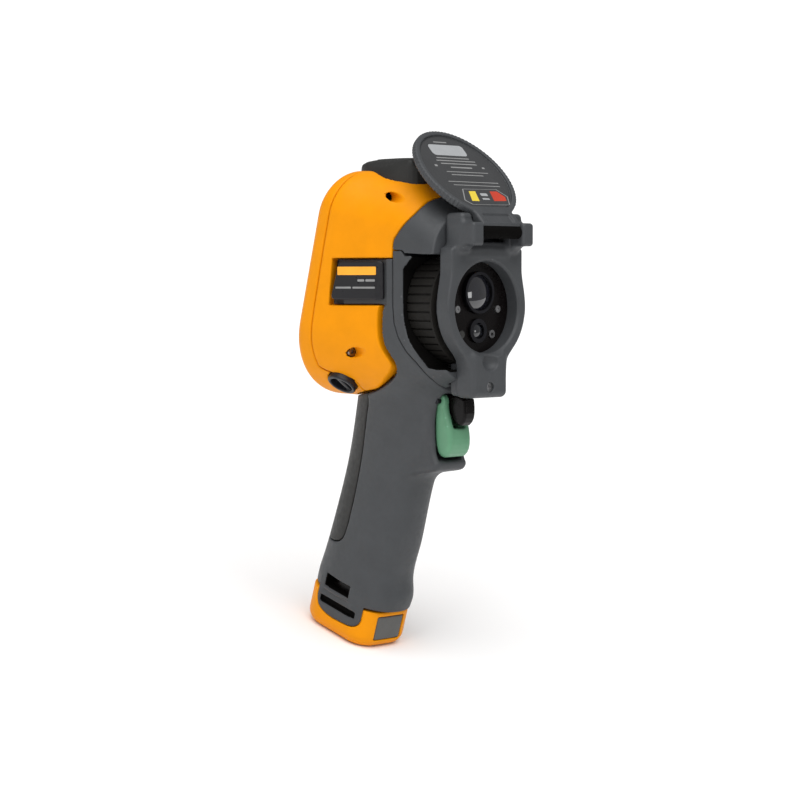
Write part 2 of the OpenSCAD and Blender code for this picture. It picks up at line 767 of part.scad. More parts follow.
// ================================================================ battery
module battery_outline(inset) {
    polygon([for (p = grip_ring([0, battery_hd, battery_hw, battery_yc], inset)) [p[0], p[1]]]);
}
plug_inset = 8;               // the pack's plug in the base is this much smaller all round
plug_depth = 6;
module battery_pack() color(BLACK) {
    translate([0, 0, base_h - plug_depth]) linear_extrude(plug_depth + 1) battery_outline(plug_inset);
    difference() {
        translate([0, 0, base_h]) linear_extrude(battery_top - base_h) battery_outline(0);
        translate([0, 0, base_h + 2]) linear_extrude(battery_top - base_h - 5)
            battery_outline(1.4);
    }
}
module battery_cells() color("#3a6ea5") {
    for (y = [-8.6, 10.6]) translate([0, y, base_h + 3]) cylinder(r = 9.1, h = 65, $fn = fine);
}
function base_points(inset) = concat(
    arc(base_hw - back_r, base_back - back_r, back_r - inset, 0),
    arc(back_r - base_hw, base_back - back_r, back_r - inset, 90),
    arc(front_r - base_hw, base_front + front_r, front_r - inset, 180),
    arc(base_hw - front_r, base_front + front_r, front_r - inset, 270));
module base_plan(inset) { polygon(base_points(inset)); }
// One ring of the base's skin, taken clockwise
function base_ring(z, inset) = let (pts = base_points(inset))
    [for (i = [len(pts) - 1:-1:0]) [pts[i][0], pts[i][1], z]];
latch_hw = 9.6;
latch_z = [5.5, 19];          // the release button in the base's front
module battery_base() color(YELLOW) {
    difference() {
        loft([base_ring(0, base_round), base_ring(0.3 * base_round, 0.42 * base_round),
            base_ring(base_round, 0), base_ring(base_h - gap, 0)]);
        translate([0, 0, base_h - plug_depth - seam]) linear_extrude(far)
            battery_outline(plug_inset - seam);
        translate([0, base_front, 0]) block(2 * latch_hw + 2 * gap, -1, 5.6, latch_z[0] - gap,
            latch_z[1] + gap);
        translate([0, 0, wall]) linear_extrude(base_h - plug_depth - 2 * wall)
            battery_outline(plug_inset + gap);
        difference() {
            rotate([90, 0, 90]) linear_extrude(far, center = true) offset(delta = gap) polygon(TONGUE);
            block(2 * tongue_in - 2 * gap, -far, far, 0, far);
        }
    }
}
module battery_latch() color(GREY) {
    difference() {
        translate([0, base_front, 0]) block(2 * latch_hw, 0.1, 3, latch_z[0], latch_z[1]);
        for (z = [9, 12, 15]) translate([0, base_front, 0])
            block(2 * latch_hw - 5, -0.2, 0.7, z, z + 1.2);
    }
}
module latch_spring() color(STEEL) {
    for (x = [-5, 5]) translate([x, base_front + 3.05, 12]) turned(1.4, 0, 2.4, medium);
}
module battery_contacts() color("#d8b25a") {
    for (x = [-6:4:6]) translate([x, battery_yc, 0]) block(2, -3, 3, battery_top + 0.1, battery_top + 1.8);
}

// ================================================================ badges and screws
module side_badge(side) {
    color(DARK) in_head() at_badge(side)
        translate([side * (badge_size[0] / 2 - badge_sink), 0, 0]) cube(badge_size, center = true);
}
module side_badge_left() { side_badge(-1); }
module side_badge_right() { side_badge(1); }
module case_screws() color(STEEL) {
    in_head() for (side = [-1, 1], s = CASE_SCREWS) translate([side * s[0], s[2], s[1]])
        difference() {
            union() {
                turned(screw_head_r - seam, -2.4, 0, medium);
                turned(screw_r - seam, -0.5, s[3] - s[2] - 1, medium);
            }
            turned(screw_r_small, -3, -1, 6);
        }
}
module handle_screws() color(STEEL) {
    for (z = screw_heights) translate([0, 0, z]) difference() {
        turned(screw_head_r, 25.2, 27, medium);
        turned(1.2, 26.4, 28, 6);
    }
}

front_housing();
front_dome();
handle_rear_cover();
side_shroud();
rear_case();
guard_left();
guard_right();
front_bezel();
bezel_screw();
lens_plate();
faceplate_screws();
lens_barrel();
focus_wheel();
ir_lens_cell();
ir_lens_front();
ir_lens_rear();
shutter_housing();
shutter_blade();
ir_sensor();
camera_module();
camera_lens();
laser_module();
torch_led();
chassis();
main_board();
display_panel();
display_glass();
display_gasket();
keypad();
power_button();
menu_button();
back_button();
speaker();
top_cover();
port_door();
port_hinge_pin();
usb_port();
card_slot();
lens_cover();
lens_cover_label();
cover_hinge_pin();
primary_trigger();
secondary_trigger();
trigger_pin();
trigger_springs();
trigger_switches();
battery_base();
battery_pack();
battery_cells();
battery_latch();
latch_spring();
battery_contacts();
side_badge_left();
side_badge_right();
strap_anchor_left();
strap_anchor_right();
case_screws();
handle_screws();
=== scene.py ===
"""Pistol-grip thermal imaging camera: the moulded shells, optics and controls round the CAD frame.

Head pieces are drawn in the head's own frame, in millimetres: the lens looks along -Y and the
origin is where its axis meets the front ring. Handle pieces are drawn in the row frame. Each
moulded piece is a signed distance function, meshed where the distance is zero.
"""

import json
import math

import bpy
import numpy as np
from mathutils import Matrix, Vector


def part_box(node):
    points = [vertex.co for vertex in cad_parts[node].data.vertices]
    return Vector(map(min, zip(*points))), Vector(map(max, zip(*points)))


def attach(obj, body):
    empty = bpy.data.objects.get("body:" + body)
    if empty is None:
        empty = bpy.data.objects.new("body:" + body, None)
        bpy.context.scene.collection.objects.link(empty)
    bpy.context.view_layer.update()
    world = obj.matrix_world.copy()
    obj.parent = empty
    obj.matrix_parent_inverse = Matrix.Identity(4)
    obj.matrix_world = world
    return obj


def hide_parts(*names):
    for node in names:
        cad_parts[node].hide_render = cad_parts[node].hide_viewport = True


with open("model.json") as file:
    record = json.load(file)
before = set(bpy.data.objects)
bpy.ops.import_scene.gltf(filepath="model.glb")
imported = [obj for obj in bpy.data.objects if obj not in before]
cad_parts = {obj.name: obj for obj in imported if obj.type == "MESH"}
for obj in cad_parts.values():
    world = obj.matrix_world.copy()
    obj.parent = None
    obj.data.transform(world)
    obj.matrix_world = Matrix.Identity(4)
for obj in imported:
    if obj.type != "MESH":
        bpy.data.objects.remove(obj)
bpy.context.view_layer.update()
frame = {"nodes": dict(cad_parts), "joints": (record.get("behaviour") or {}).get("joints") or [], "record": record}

MM = 0.001
FAR = 99.0  # millimetres, past any surface that a cut has to reach
JOINT = {joint["name"]: joint for joint in frame["joints"]}
WHEEL_MIDDLE = 20.0  # the focus wheel's joint is this far behind the ring's face

# The head's frame, from the focus wheel's axis
lens_axis = Vector(JOINT["focus_turn"]["axis"])
HEAD_PITCH = math.asin(lens_axis.z)
HEAD = (Matrix.Translation(Vector(JOINT["focus_turn"]["pos_m"]) + lens_axis * WHEEL_MIDDLE * MM)
        @ Matrix.Rotation(-HEAD_PITCH, 4, "X") @ Matrix.Scale(MM, 4))
ROW = Matrix.Scale(MM, 4)
CELL = 0.7  # grid step of the moulded meshes
FINE = 0.45


def placed(name, data):
    """A new object with this data, in the scene."""
    obj = bpy.data.objects.new(name, data)
    bpy.context.scene.collection.objects.link(obj)
    return obj


# ------ meshing
def surface_nets(field, lo, cell):
    """Vertices and quads of the zero surface of a grid of distances, negative inside."""
    inside = field < 0
    corners = [(i, j, k) for i in (0, 1) for j in (0, 1) for k in (0, 1)]
    nx, ny, nz = (n - 1 for n in field.shape)

    def corner(grid, c):
        return grid[c[0]:c[0] + nx, c[1]:c[1] + ny, c[2]:c[2] + nz]

    count = sum(corner(inside, c).astype(np.int8) for c in corners)
    cells = np.argwhere((count > 0) & (count < 8))
    values = [field[tuple((cells + c).T)] for c in corners]
    total = np.zeros((len(cells), 3))
    crossings = np.zeros(len(cells))
    for a in range(8):
        for axis, step in enumerate((4, 2, 1)):
            if a & step:
                continue
            va, vb = values[a], values[a | step]
            crossed = (va < 0) != (vb < 0)
            t = np.where(crossed, va / np.where(crossed, va - vb, 1), 0)
            point = np.array(corners[a], float) + t[:, None] * np.eye(3)[axis]
            total += np.where(crossed[:, None], point, 0)
            crossings += crossed
    vertices = lo + (cells + total / crossings[:, None]) * cell
    index = np.full((nx, ny, nz), -1, np.int32)
    index[tuple(cells.T)] = np.arange(len(cells))
    quads = []
    for axis in range(3):
        u, v = (axis + 1) % 3, (axis + 2) % 3
        here = inside[:nx, :ny, :nz]
        there = np.roll(inside, -1, axis)[:nx, :ny, :nz]
        at = np.argwhere(here != there)
        at = at[(at[:, u] > 0) & (at[:, v] > 0)]
        du, dv = np.eye(3, dtype=int)[u], np.eye(3, dtype=int)[v]
        ring = np.stack([index[tuple((at - s).T)] for s in (du * 0, du, du + dv, dv)], 1)
        leaving = inside[tuple(at.T)]
        ring[~leaving] = ring[~leaving][:, ::-1]
        quads.append(ring)
    return vertices, np.concatenate(quads)


def grid_of(shape, lo, hi, cell):
    """Distances on a grid over the box, exact near the surface and only signed elsewhere."""
    block = 4
    lo, hi = np.array(lo, float) - 2 * cell, np.array(hi, float) + 2 * cell
    blocks = np.ceil((hi - lo) / (cell * block)).astype(int)
    centres = [lo[a] + (np.arange(blocks[a]) + 0.5) * cell * block for a in range(3)]
    coarse = shape(*np.meshgrid(*centres, indexing="ij"))
    field = np.where(coarse > 0, 1.0, -1.0)
    for axis in range(3):
        field = np.repeat(field, block, axis)
    field = np.pad(field, ((0, 1), (0, 1), (0, 1)), mode="edge")
    near = np.argwhere(np.abs(coarse) < cell * block * 1.35)
    offsets = np.stack(np.meshgrid(*[np.arange(block + 1)] * 3, indexing="ij"), -1).reshape(-1, 3)
    at = (near[:, None] * block + offsets).reshape(-1, 3)
    values = shape(*(lo + at * cell).T)
    field[tuple(at.T)] = values
    return field, lo


def on_surface(shape, points, cell):
    """Points moved onto the zero surface along the gradient, by no more than half a cell."""
    h = 0.25 * cell
    value = shape(*points.T)
    slope = np.stack([shape(*(points + d).T) - shape(*(points - d).T) for d in np.eye(3) * h], 1) / (2 * h)
    size = np.maximum((slope ** 2).sum(1), 0.25)
    move = -(value / size)[:, None] * slope
    length = np.linalg.norm(move, axis=1, keepdims=True)
    return points + move * np.minimum(1, 0.5 * cell / np.maximum(length, 1e-9))


def moulded(name, shape, lo, hi, place=HEAD, cell=CELL):
    """An object whose surface is where shape(x, y, z) is zero, placed in the row frame."""
    field, origin = grid_of(shape, lo, hi, cell)
    vertices, quads = surface_nets(field, origin, cell)
    vertices = on_surface(shape, vertices, cell)
    mesh = bpy.data.meshes.new(name)
    mesh.from_pydata(vertices.tolist(), [], quads.tolist())
    mesh.transform(place)
    mesh.shade_smooth()
    mesh.validate()
    return placed(name, mesh)


# ------ distance functions
def both(a, b, r=0.0):
    """The part in both shapes, its edge rounded to radius r."""
    if not r:
        return np.maximum(a, b)
    return np.minimum(np.maximum(a, b), -r) + np.hypot(np.maximum(a + r, 0), np.maximum(b + r, 0))


def either(a, b, k=0.0):
    """Both shapes together, with a fillet of about k between them."""
    if not k:
        return np.minimum(a, b)
    h = np.clip(0.5 + 0.5 * (b - a) / k, 0, 1)
    return b + (a - b) * h - k * h * (1 - h)


def without(a, b, r=0.0):
    return both(a, -b, r)


def turned(a, b, angle):
    """A point of the plane in axes turned by the angle."""
    c, s = math.cos(angle), math.sin(angle)
    return a * c + b * s, b * c - a * s


def slab(v, lo, hi):
    return np.maximum(lo - v, v - hi)


def box(x, y, z, lo, hi, r=0.0):
    q = [np.abs(v - (a + b) / 2) - (b - a) / 2 + r for v, a, b in zip((x, y, z), lo, hi)]
    outer = np.sqrt(sum(np.maximum(v, 0) ** 2 for v in q))
    return outer + np.minimum(np.maximum(np.maximum(q[0], q[1]), q[2]), 0) - r


def disc(a, b, along, radius, lo, hi, r=0.0):
    """A cylinder: a and b are measured from its axis, along runs beside it."""
    return both(np.hypot(a, b) - radius, slab(along, lo, hi), r)


def soften(points, rounds=2):
    """A closed outline with its corners cut back, evenly."""
    points = np.array(points, float)
    for _ in range(rounds):
        ahead = np.roll(points, -1, 0)
        points = np.stack([0.75 * points + 0.25 * ahead, 0.25 * points + 0.75 * ahead], 1).reshape(-1, 2)
    return points


def outline(a, b, points):
    """Distance to a closed outline in the plane, negative inside."""
    points = np.asarray(points, float)
    shape = np.shape(a)
    a, b = np.ravel(a), np.ravel(b)
    best = np.full(a.shape, 1e9)
    inside = np.zeros(a.shape, bool)
    for (ax, ay), (bx, by) in zip(points, np.roll(points, -1, 0)):
        ex, ey = bx - ax, by - ay
        t = np.clip(((a - ax) * ex + (b - ay) * ey) / (ex * ex + ey * ey), 0, 1)
        best = np.minimum(best, (a - ax - t * ex) ** 2 + (b - ay - t * ey) ** 2)
        crosses = (ay > b) != (by > b)
        if ey:
            inside ^= crosses & (a < ax + (b - ay) * ex / ey)
    return (np.sqrt(best) * np.where(inside, -1, 1)).reshape(shape)


def curve_table(rows, step=1.0):
    """Rows of sizes along a first column, made smooth between them."""
    rows = np.array(rows, float)
    at = rows[:, 0]
    slope = np.gradient(rows, at, axis=0)
    fine = np.arange(at[0], at[-1] + step, step)
    i = np.clip(np.searchsorted(at, fine, side="right") - 1, 0, len(at) - 2)
    span = (at[i + 1] - at[i])[:, None]
    t = ((fine - at[i]) / span[:, 0])[:, None]
    a, b, da, db = rows[i], rows[i + 1], slope[i] * span, slope[i + 1] * span
    table = (a + (b - a) * (3 * t ** 2 - 2 * t ** 3)
             + da * (t - 2 * t ** 2 + t ** 3) + db * (t ** 3 - t ** 2))
    table[:, 0] = fine
    return table


def column(table, at, k):
    return np.interp(at, table[:, 0], table[:, k])


# ------ the head, in its own frame
FACE_LEAN = math.radians(14)
HEAD_LEN = 93.6  # front ring's face to the display face, on the lens axis
RIM_DEPTH = 12.5
SEAM = 0.3  # half the width of the groove between two shells
SEAM_ROUND = 0.5  # rounding of the edges along a groove
PART_Y = HEAD_LEN - RIM_DEPTH * math.cos(FACE_LEAN)
RIM_ROUND = 7.0
# Along the lens, lean in degrees, half width, top, bottom, upper and lower corner radius
STATIONS = curve_table([
    [4, 0, 31.5, 47, -39, 25, 30],
    [9, 0, 32.5, 50, -40, 25, 30],
    [24, 0, 35, 61, -45, 26, 32],
    [38, 2, 37.5, 67, -48, 26, 34],
    [60, 8, 43.5, 71, -50, 25, 39],
    [PART_Y, 14, 50, 75, -50, 24, 42],
    [HEAD_LEN + 10, 14, 50, 75, -50, 24, 42]])


def head_coordinates(y, z):
    """Distance along the lens of the leaning section through a point, and its height there."""
    along = y
    for _ in range(3):
        lean = np.radians(column(STATIONS, along, 1))
        along = y + z * np.tan(lean)
    return along, z / np.cos(lean)


def head_form(x, y, z, inset=0.0):
    along, up = head_coordinates(y, z)
    w, top, bottom, upper, lower = (column(STATIONS, along, k) for k in range(2, 7))
    half = (top - bottom) / 2
    rise = up - (top + bottom) / 2
    r = np.where(rise > 0, upper, lower)
    qx, qz = np.abs(x) - w + r, np.abs(rise) - half + r
    section = np.hypot(np.maximum(qx, 0), np.maximum(qz, 0)) + np.minimum(np.maximum(qx, qz), 0) - r
    back = (along - HEAD_LEN) * math.cos(FACE_LEAN)
    return both(0.95 * section + inset, back + inset, RIM_ROUND)


# Side outlines of the shells, as y and z: the yellow shells, the rear case, the guard behind
# the focus wheel, the cap over it and the finger window
YELLOW = soften([[20.6, 130], [20.6, 58.6], [22.2, 55.8], [22.7, 53], [23.8, 49.4], [25.4, 46.8],
                 [28.3, 43], [31.5, 38.4], [34.3, 35.2], [34.5, 26], [37, 17], [42.4, 2.3], [43.8, -4],
                 [43.8, -15.5], [42.1, -22.5], [39.6, -27], [38.6, -30.7], [41.9, -34.3], [47.4, -37.9],
                 [57.1, -43.8], [80, -51.5], [90, -90], [160, -90], [160, 130]], 2)
REAR = soften([[PART_Y - 130 * math.tan(FACE_LEAN), 130], [PART_Y + 30 * math.tan(FACE_LEAN), -30],
               [82.6, -35.3], [69.8, -38], [68.4, -42], [74, -52], [74, -90], [160, -90], [160, 130]])
GUARD_EDGE = [[34.4, 30], [34.4, 0.8], [33.7, -8.4], [31.3, -15.2], [27.1, -23.2], [23.1, -28.9],
              [21.8, -32.3], [20.5, -38.6]]
GUARD = [[9, 27.2], [27, 27.2], [29.2, 30], *GUARD_EDGE, [20.5, -60], [9, -60]]
DOME = soften([[-20, 27.5], [26.8, 27.5], [29, 30.3], [60, 30.3], [60, 130], [-20, 130]], 1)
CAP_AND_GUARD = [[-20, 130], [60, 130], [60, 30], *GUARD_EDGE, [20.5, -60], [-20, -60]]
WINDOW = soften([[4, 26.9], [28.2, 26.9], [28.2, 0], [27.4, -8], [25.2, -15.8], [21.4, -23.7],
                 [18.6, -29.3], [18.2, -32.6], [4, -32.6]], 1)
FRONT_Y = 9.0
WHEEL_ROOM = 32.2  # radius of the space round the focus wheel
WHEEL_BACK = 30.4
BARREL_ROOM = 30.6  # radius of the space behind the wheel
DOME_BACK = 34.0
BADGE_MID = (43.1, 55.8, 13.2)
BADGE_TURN = math.radians(17.4)
# Of each deep screw pocket: x, z, depth, and how far it turns outwards to its mouth
POCKETS = ((30.5, 58.0, 46.0, 0.16), (37.8, -24.0, 66.0, 0.3))
POCKET_R = 2.8


def badge_coordinates(x, y, z):
    """A point seen from the middle of the side badge: out of the wall, along it and up."""
    out, along = turned(np.abs(x) - BADGE_MID[0], y - BADGE_MID[1], -BADGE_TURN)
    return out, along, z - BADGE_MID[2]


# Side view of the notch round the badge: (along, up), its rear end leaning with the rear case
NOTCH = [[-60, 12.6], [13.4, 12.6], [16.4, -11.9], [-60, -11.9]]
NOTCH_OUT = (-6, 9)  # how far the notch reaches into the wall and out of it
NOTCH_EDGE = 0.8
BADGE_FLOOR = -2.4  # bottom of the pocket under the badge, and its front end
BADGE_FRONT = -18.3


def badge_notch(x, y, z):
    """What the yellow shell leaves open round the badge, on to its front edge."""
    out, along, up = badge_coordinates(x, y, z)
    return both(outline(along, up, NOTCH), slab(out, *NOTCH_OUT), NOTCH_EDGE)


def badge_pocket(x, y, z):
    out, along, up = badge_coordinates(x, y, z)
    pocket = both(outline(along, up, NOTCH), slab(out, BADGE_FLOOR, NOTCH_OUT[1]), NOTCH_EDGE)
    return both(pocket, BADGE_FRONT - along, NOTCH_EDGE)


def yellow_side(x, y, z):
    """The side outline of the yellow shells, less the notch for the badge."""
    return both(outline(y, z, YELLOW), -badge_notch(x, y, z))


def screw_pockets(x, y, z):
    shapes = []
    for px, pz, depth, slant in POCKETS:
        across = (np.abs(x) - px - slant * np.maximum(depth - y, 0)) / math.hypot(1, slant)
        shapes.append(disc(across, z - pz, y, POCKET_R, -9, depth, 0.4))
    return np.minimum(*shapes)


def side_shroud(x, y, z):
    shape = both(head_form(x, y, z), yellow_side(x, y, z) + SEAM, SEAM_ROUND)
    shape = both(shape, -outline(y, z, REAR) + SEAM, SEAM_ROUND)
    shape = without(shape, screw_pockets(x, y, z), 0.5)
    shape = without(shape, port_bay(x, y, z), 0.4)
    return without(without(shape, neck(x, y, z) - 2 * SEAM, SEAM_ROUND), top_seat(x, y, z), SEAM_ROUND)


# Half width and half height of the display glass, and its middle's height
GLASS_HALF = (42.0, 33.0)
GLASS_MID = 27.0
BUTTON_Z = -22.0
BUTTON_R = 6.4
BUTTON_STEP = 21.0
WINDOW_DEPTH = 3.6  # of the seat of the display glass
BUTTON_DEPTH = 4.0
FIT = 0.3  # gap between a shell and a part that lies in it


def face_coordinates(y, z):
    """Distance out of the display face, and height up it."""
    return turned(y - HEAD_LEN, z, FACE_LEAN)


ANCHOR = (31.8, 78.4, -42.0)
ANCHOR_R = 8.2
ANCHOR_TILT = math.radians(36)
ANCHOR_RIM = 1.9
ANCHOR_BAR = ((-9, -1.5, -3.4), (9, 1.5, -0.6))


def anchor_coordinates(x, y, z):
    """A point seen from a strap anchor: across it, along the lens, and out of the wall."""
    across, inward = turned(np.abs(x) - ANCHOR[0], z - ANCHOR[2], ANCHOR_TILT)
    return across, y - ANCHOR[1], -inward


def rear_case(x, y, z):
    shape = both(head_form(x, y, z), outline(y, z, REAR) + SEAM, SEAM_ROUND)
    shape = both(shape, outline(y, z, YELLOW) + SEAM, SEAM_ROUND)
    out, up = face_coordinates(y, z)
    half = (GLASS_HALF[0] + FIT, GLASS_HALF[1] + FIT)
    window = box(x, out, up, (-half[0], -WINDOW_DEPTH, GLASS_MID - half[1]),
                 (half[0], 9, GLASS_MID + half[1]), 3.0)
    shape = without(shape, window, 0.8)
    for k in (-1, 0, 1):
        button = disc(x - k * BUTTON_STEP, up - BUTTON_Z, out, BUTTON_R + 1.5 * FIT, -BUTTON_DEPTH, 9)
        shape = without(shape, button, 0.5)
    across, along, above = anchor_coordinates(x, y, z)
    shape = without(shape, disc(across, along, above, ANCHOR_R + 0.25, -9, 9), 0.6)
    return without(without(shape, neck(x, y, z) - 2 * SEAM, SEAM_ROUND), top_seat(x, y, z), SEAM_ROUND)


def strap_anchor(x, y, z):
    across, along, above = anchor_coordinates(x, y, z)
    shape = disc(across, along, above, ANCHOR_R, -6, 0.7, 0.7)
    well = disc(across, along, above, ANCHOR_R - ANCHOR_RIM, -4, 3, 0.5)
    bar = box(across, along, above, *ANCHOR_BAR, 0.6)
    return either(without(shape, well, 0.4), both(bar, shape), 0.4)


# ------ handle, in the row frame
BASE_TOP = 23.0
# Height, half depth, half width and middle
GRIP = curve_table([
    [BASE_TOP - 8, 29.1, 21.5, 1.7], [BASE_TOP, 29.1, 21.5, 1.6], [30, 29.5, 21.5, 1.2],
    [40, 27.5, 20.7, 2.0], [63, 27.0, 19.9, 1.0], [100, 26.5, 19.5, 0.7], [127, 29.0, 21.0, 0.0],
    [153, 32.5, 23.5, -1.0], [178, 36, 27, -1.0]])
GRIP_POWER = 2.3
GRIP_END = 168.0
STRIP = soften([[9, 163], [9, 131], [6.5, 103], [5.8, 78], [5.8, 60], [8, 53.5], [15, 50.3],
                [26, 49.6], [70, 49.6], [70, 163]], 1)
HANDLE_SCREWS = (67, 121)
SCREW_HOLE = 2.9
TONGUE = soften([[-21, 60], [-21, 26], [-19.2, 21], [-17, 14], [-14, 11], [-8, 10.2], [5, 9.6],
                 [14, 11.8], [17.4, 16.5], [17.2, 22], [18, 26], [18, 60]], 1)
TONGUE_IN = 17.4  # inner face of the tongue, from the middle of the base
TONGUE_ROOT = BASE_TOP + 6
SLIT_LOW = (-13.5, 15.4)
SLIT_HIGH = (14.8, 19.2)
SLIT_OUTLINE = [SLIT_LOW, (SLIT_HIGH[0], SLIT_LOW[1]), SLIT_HIGH, (SLIT_LOW[0], SLIT_HIGH[1])]
STRAP_SLOT = [[-7.2, 25.4], [12.8, 25.4], [12.8, 32.6], [-7.2, 32.2]]
SLOT_IN = 9.0  # how near the middle the strap slot ends


ORIGIN = HEAD.translation / MM


def row_coordinates(x, y, z):
    """Head coordinates carried into the row frame, in millimetres."""
    along, up = turned(y, z, HEAD_PITCH)
    return x, along + ORIGIN.y, up + ORIGIN.z


def head_from_row(x, y, z):
    return (x, *turned(y - ORIGIN.y, z - ORIGIN.z, -HEAD_PITCH))


def grip_form(x, y, z):
    depth, width, middle = (column(GRIP, z, k) for k in (1, 2, 3))
    a, b = np.abs(x) / width, np.abs(y - middle) / depth
    level = (a ** GRIP_POWER + b ** GRIP_POWER + 1e-9) ** (1 / GRIP_POWER)
    radius = np.hypot(x, y - middle)
    return (level - 1) * radius / np.maximum(level, 0.3)


def neck(x, y, z):
    """The handle's form, from head coordinates."""
    place = row_coordinates(x, y, z)
    return both(grip_form(*place), place[2] - GRIP_END)


CHIN = soften([[31, -36], [29.4, -62], [28.8, -77], [26.8, -82], [25.6, -84], [27, -87.4], [32, -88.6],
               [40, -89.6], [56, -92.6], [72, -91], [72, -36]], 2)
POCKET = [[-9, -46], [-9, -82.3], [25, -82.6], [33.5, -80.8], [39.3, -76.5], [39.3, -46]]
POCKET_HALF = 9.0
CHIN_HALF = 12.5
HOUSING_FRONT = 17.0
SKIRT = 3.0  # the grey part runs this far under the yellow shells
SHELL_SPARE = 0.6  # room left round them


def tongue(x, y, z):
    """The tongue that the handle sends down each side of the base, with its slit."""
    shape = both(both(base_plan(x, y), outline(y, z, TONGUE), 0.5), TONGUE_IN - np.abs(x))
    shape = both(shape, z - TONGUE_ROOT)
    slit = box(y, z, 0 * x, (*SLIT_LOW, -1), (*SLIT_HIGH, 1), 0.5)
    return without(shape, slit, 0.4)


def front_housing(x, y, z):
    """Row frame: handle, trigger housing and the grey lower part of the head, as one moulding."""
    hx, hy, hz = head_from_row(x, y, z)
    head = head_form(hx, hy, hz)
    handle = both(grip_form(x, y, z), z - GRIP_END)
    chin = both(outline(hy, hz, CHIN), np.abs(x) - CHIN_HALF, 3.0)
    grey = both(head, np.minimum(-outline(hy, hz, YELLOW) + SKIRT, badge_notch(hx, hy, hz)))
    shape = either(either(handle, chin, 5), grey, 7)
    shell = both(head_form(hx, hy, hz, -SHELL_SPARE), yellow_side(hx, hy, hz) - SEAM)
    shape = both(shape, -shell, SEAM_ROUND)
    shape = both(shape, -outline(hy, hz, CAP_AND_GUARD) + SEAM, SEAM_ROUND)
    shape = both(shape, HOUSING_FRONT - hy, 0.8)
    pocket = both(outline(hy, hz, POCKET), np.abs(x) - POCKET_HALF, 1.2)
    shape = without(shape, pocket, 1.0)
    shape = without(shape, badge_pocket(hx, hy, hz), 0.5)
    shape = both(shape, -outline(y, z, STRIP) + SEAM, SEAM_ROUND)
    shape = both(shape, BASE_TOP + SEAM - z, 0.9)
    shape = either(shape, tongue(x, y, z), 0.5)
    strap = both(outline(y, z, STRAP_SLOT), SLOT_IN - np.abs(x), 0.5)
    return without(shape, strap, 0.6)


def handle_rear_cover(x, y, z):
    shape = both(grip_form(x, y, z), outline(y, z, STRIP) + SEAM, SEAM_ROUND)
    hx, hy, hz = head_from_row(x, y, z)
    shape = both(shape, -head_form(hx, hy, hz) + SEAM, SEAM_ROUND)
    for height in HANDLE_SCREWS:
        shape = without(shape, disc(x, z - height, y, SCREW_HOLE, 20, FAR), 0.4)
    return shape


def front_dome(x, y, z):
    shape = both(head_form(x, y, z), outline(y, z, DOME) + SEAM, SEAM_ROUND)
    shape = both(shape, -outline(y, z, YELLOW) + SEAM, SEAM_ROUND)
    shape = both(shape, FRONT_Y - y, 0.6)
    shape = without(shape, disc(x, z, y, WHEEL_ROOM, 0, DOME_BACK))
    return without(shape, top_seat(x, y, z), SEAM_ROUND)


def guard(x, y, z):
    shape = both(head_form(x, y, z), outline(y, z, GUARD) + SEAM, SEAM_ROUND)
    shape = both(shape, FRONT_Y - y, 0.4)
    shape = without(shape, outline(y, z, WINDOW), 1.0)
    foot = box(x, y, z, (-FOOT_HALF - 0.2, -9, -FAR), (FOOT_HALF + 0.2, FOOT_BACK + FIT, -10))
    shape = without(shape, foot, 0.4)
    shape = without(shape, disc(x, z, y, WHEEL_ROOM, 0, WHEEL_BACK), 0.4)
    return without(shape, disc(x, z, y, BARREL_ROOM, 0, FAR))


# ------ front ring and lens cover
RING_R = 30.0
OPENING_R = 24.2
RING_DEPTH = 8.7
COVER_AXIS = (-7.5, 39.5)
COVER_LEAN = math.radians(46.8)
COVER_CLOSED = math.radians(222.5)  # turn from open to closed
LUG_X = 15.0
LUG_W = 8.4
FOOT_HALF = 13.0
FOOT_BACK = 16.0
PIN_END = LUG_X + LUG_W - 0.95  # the hinge pin's holes stop inside the lugs
PIN_HOLE = 1.7
BEVEL_DEPTH = 1.3  # of the bevelled front edge of the ring's opening
BEVEL_SLOPE = 0.8
# Two opposite corners of the flat upper part of the ring, its foot, and the blocks of the hinge
FLANGE = ((-27.6, -1, -4), (27.6, 1, 31.5))
FOOT_FLANGE = ((-FOOT_HALF, -1, -46.8), (FOOT_HALF, 1, -20))
FOOT = ((-FOOT_HALF, -2, -46.8), (FOOT_HALF, FOOT_BACK, -24))
LUG = ((LUG_X, -11.6, 32.2), (LUG_X + LUG_W, 7, 44.4))
CROWN = ((LUG_X, -3.5, 30), (LUG_X + LUG_W, 9, 49.4))
WEB = ((-LUG_X - 2, 0.5, 26), (LUG_X + 2, RING_DEPTH, 34.6))
# The scoop for a fingertip under the opening, and the seat of the ring's screw
SCOOP = (-3.4, -28.6)
SCOOP_R = 5.0
SCOOP_WIDTH = 1.25
RING_SCREW_Z = -42.0
RING_SCREW_R = 2.7


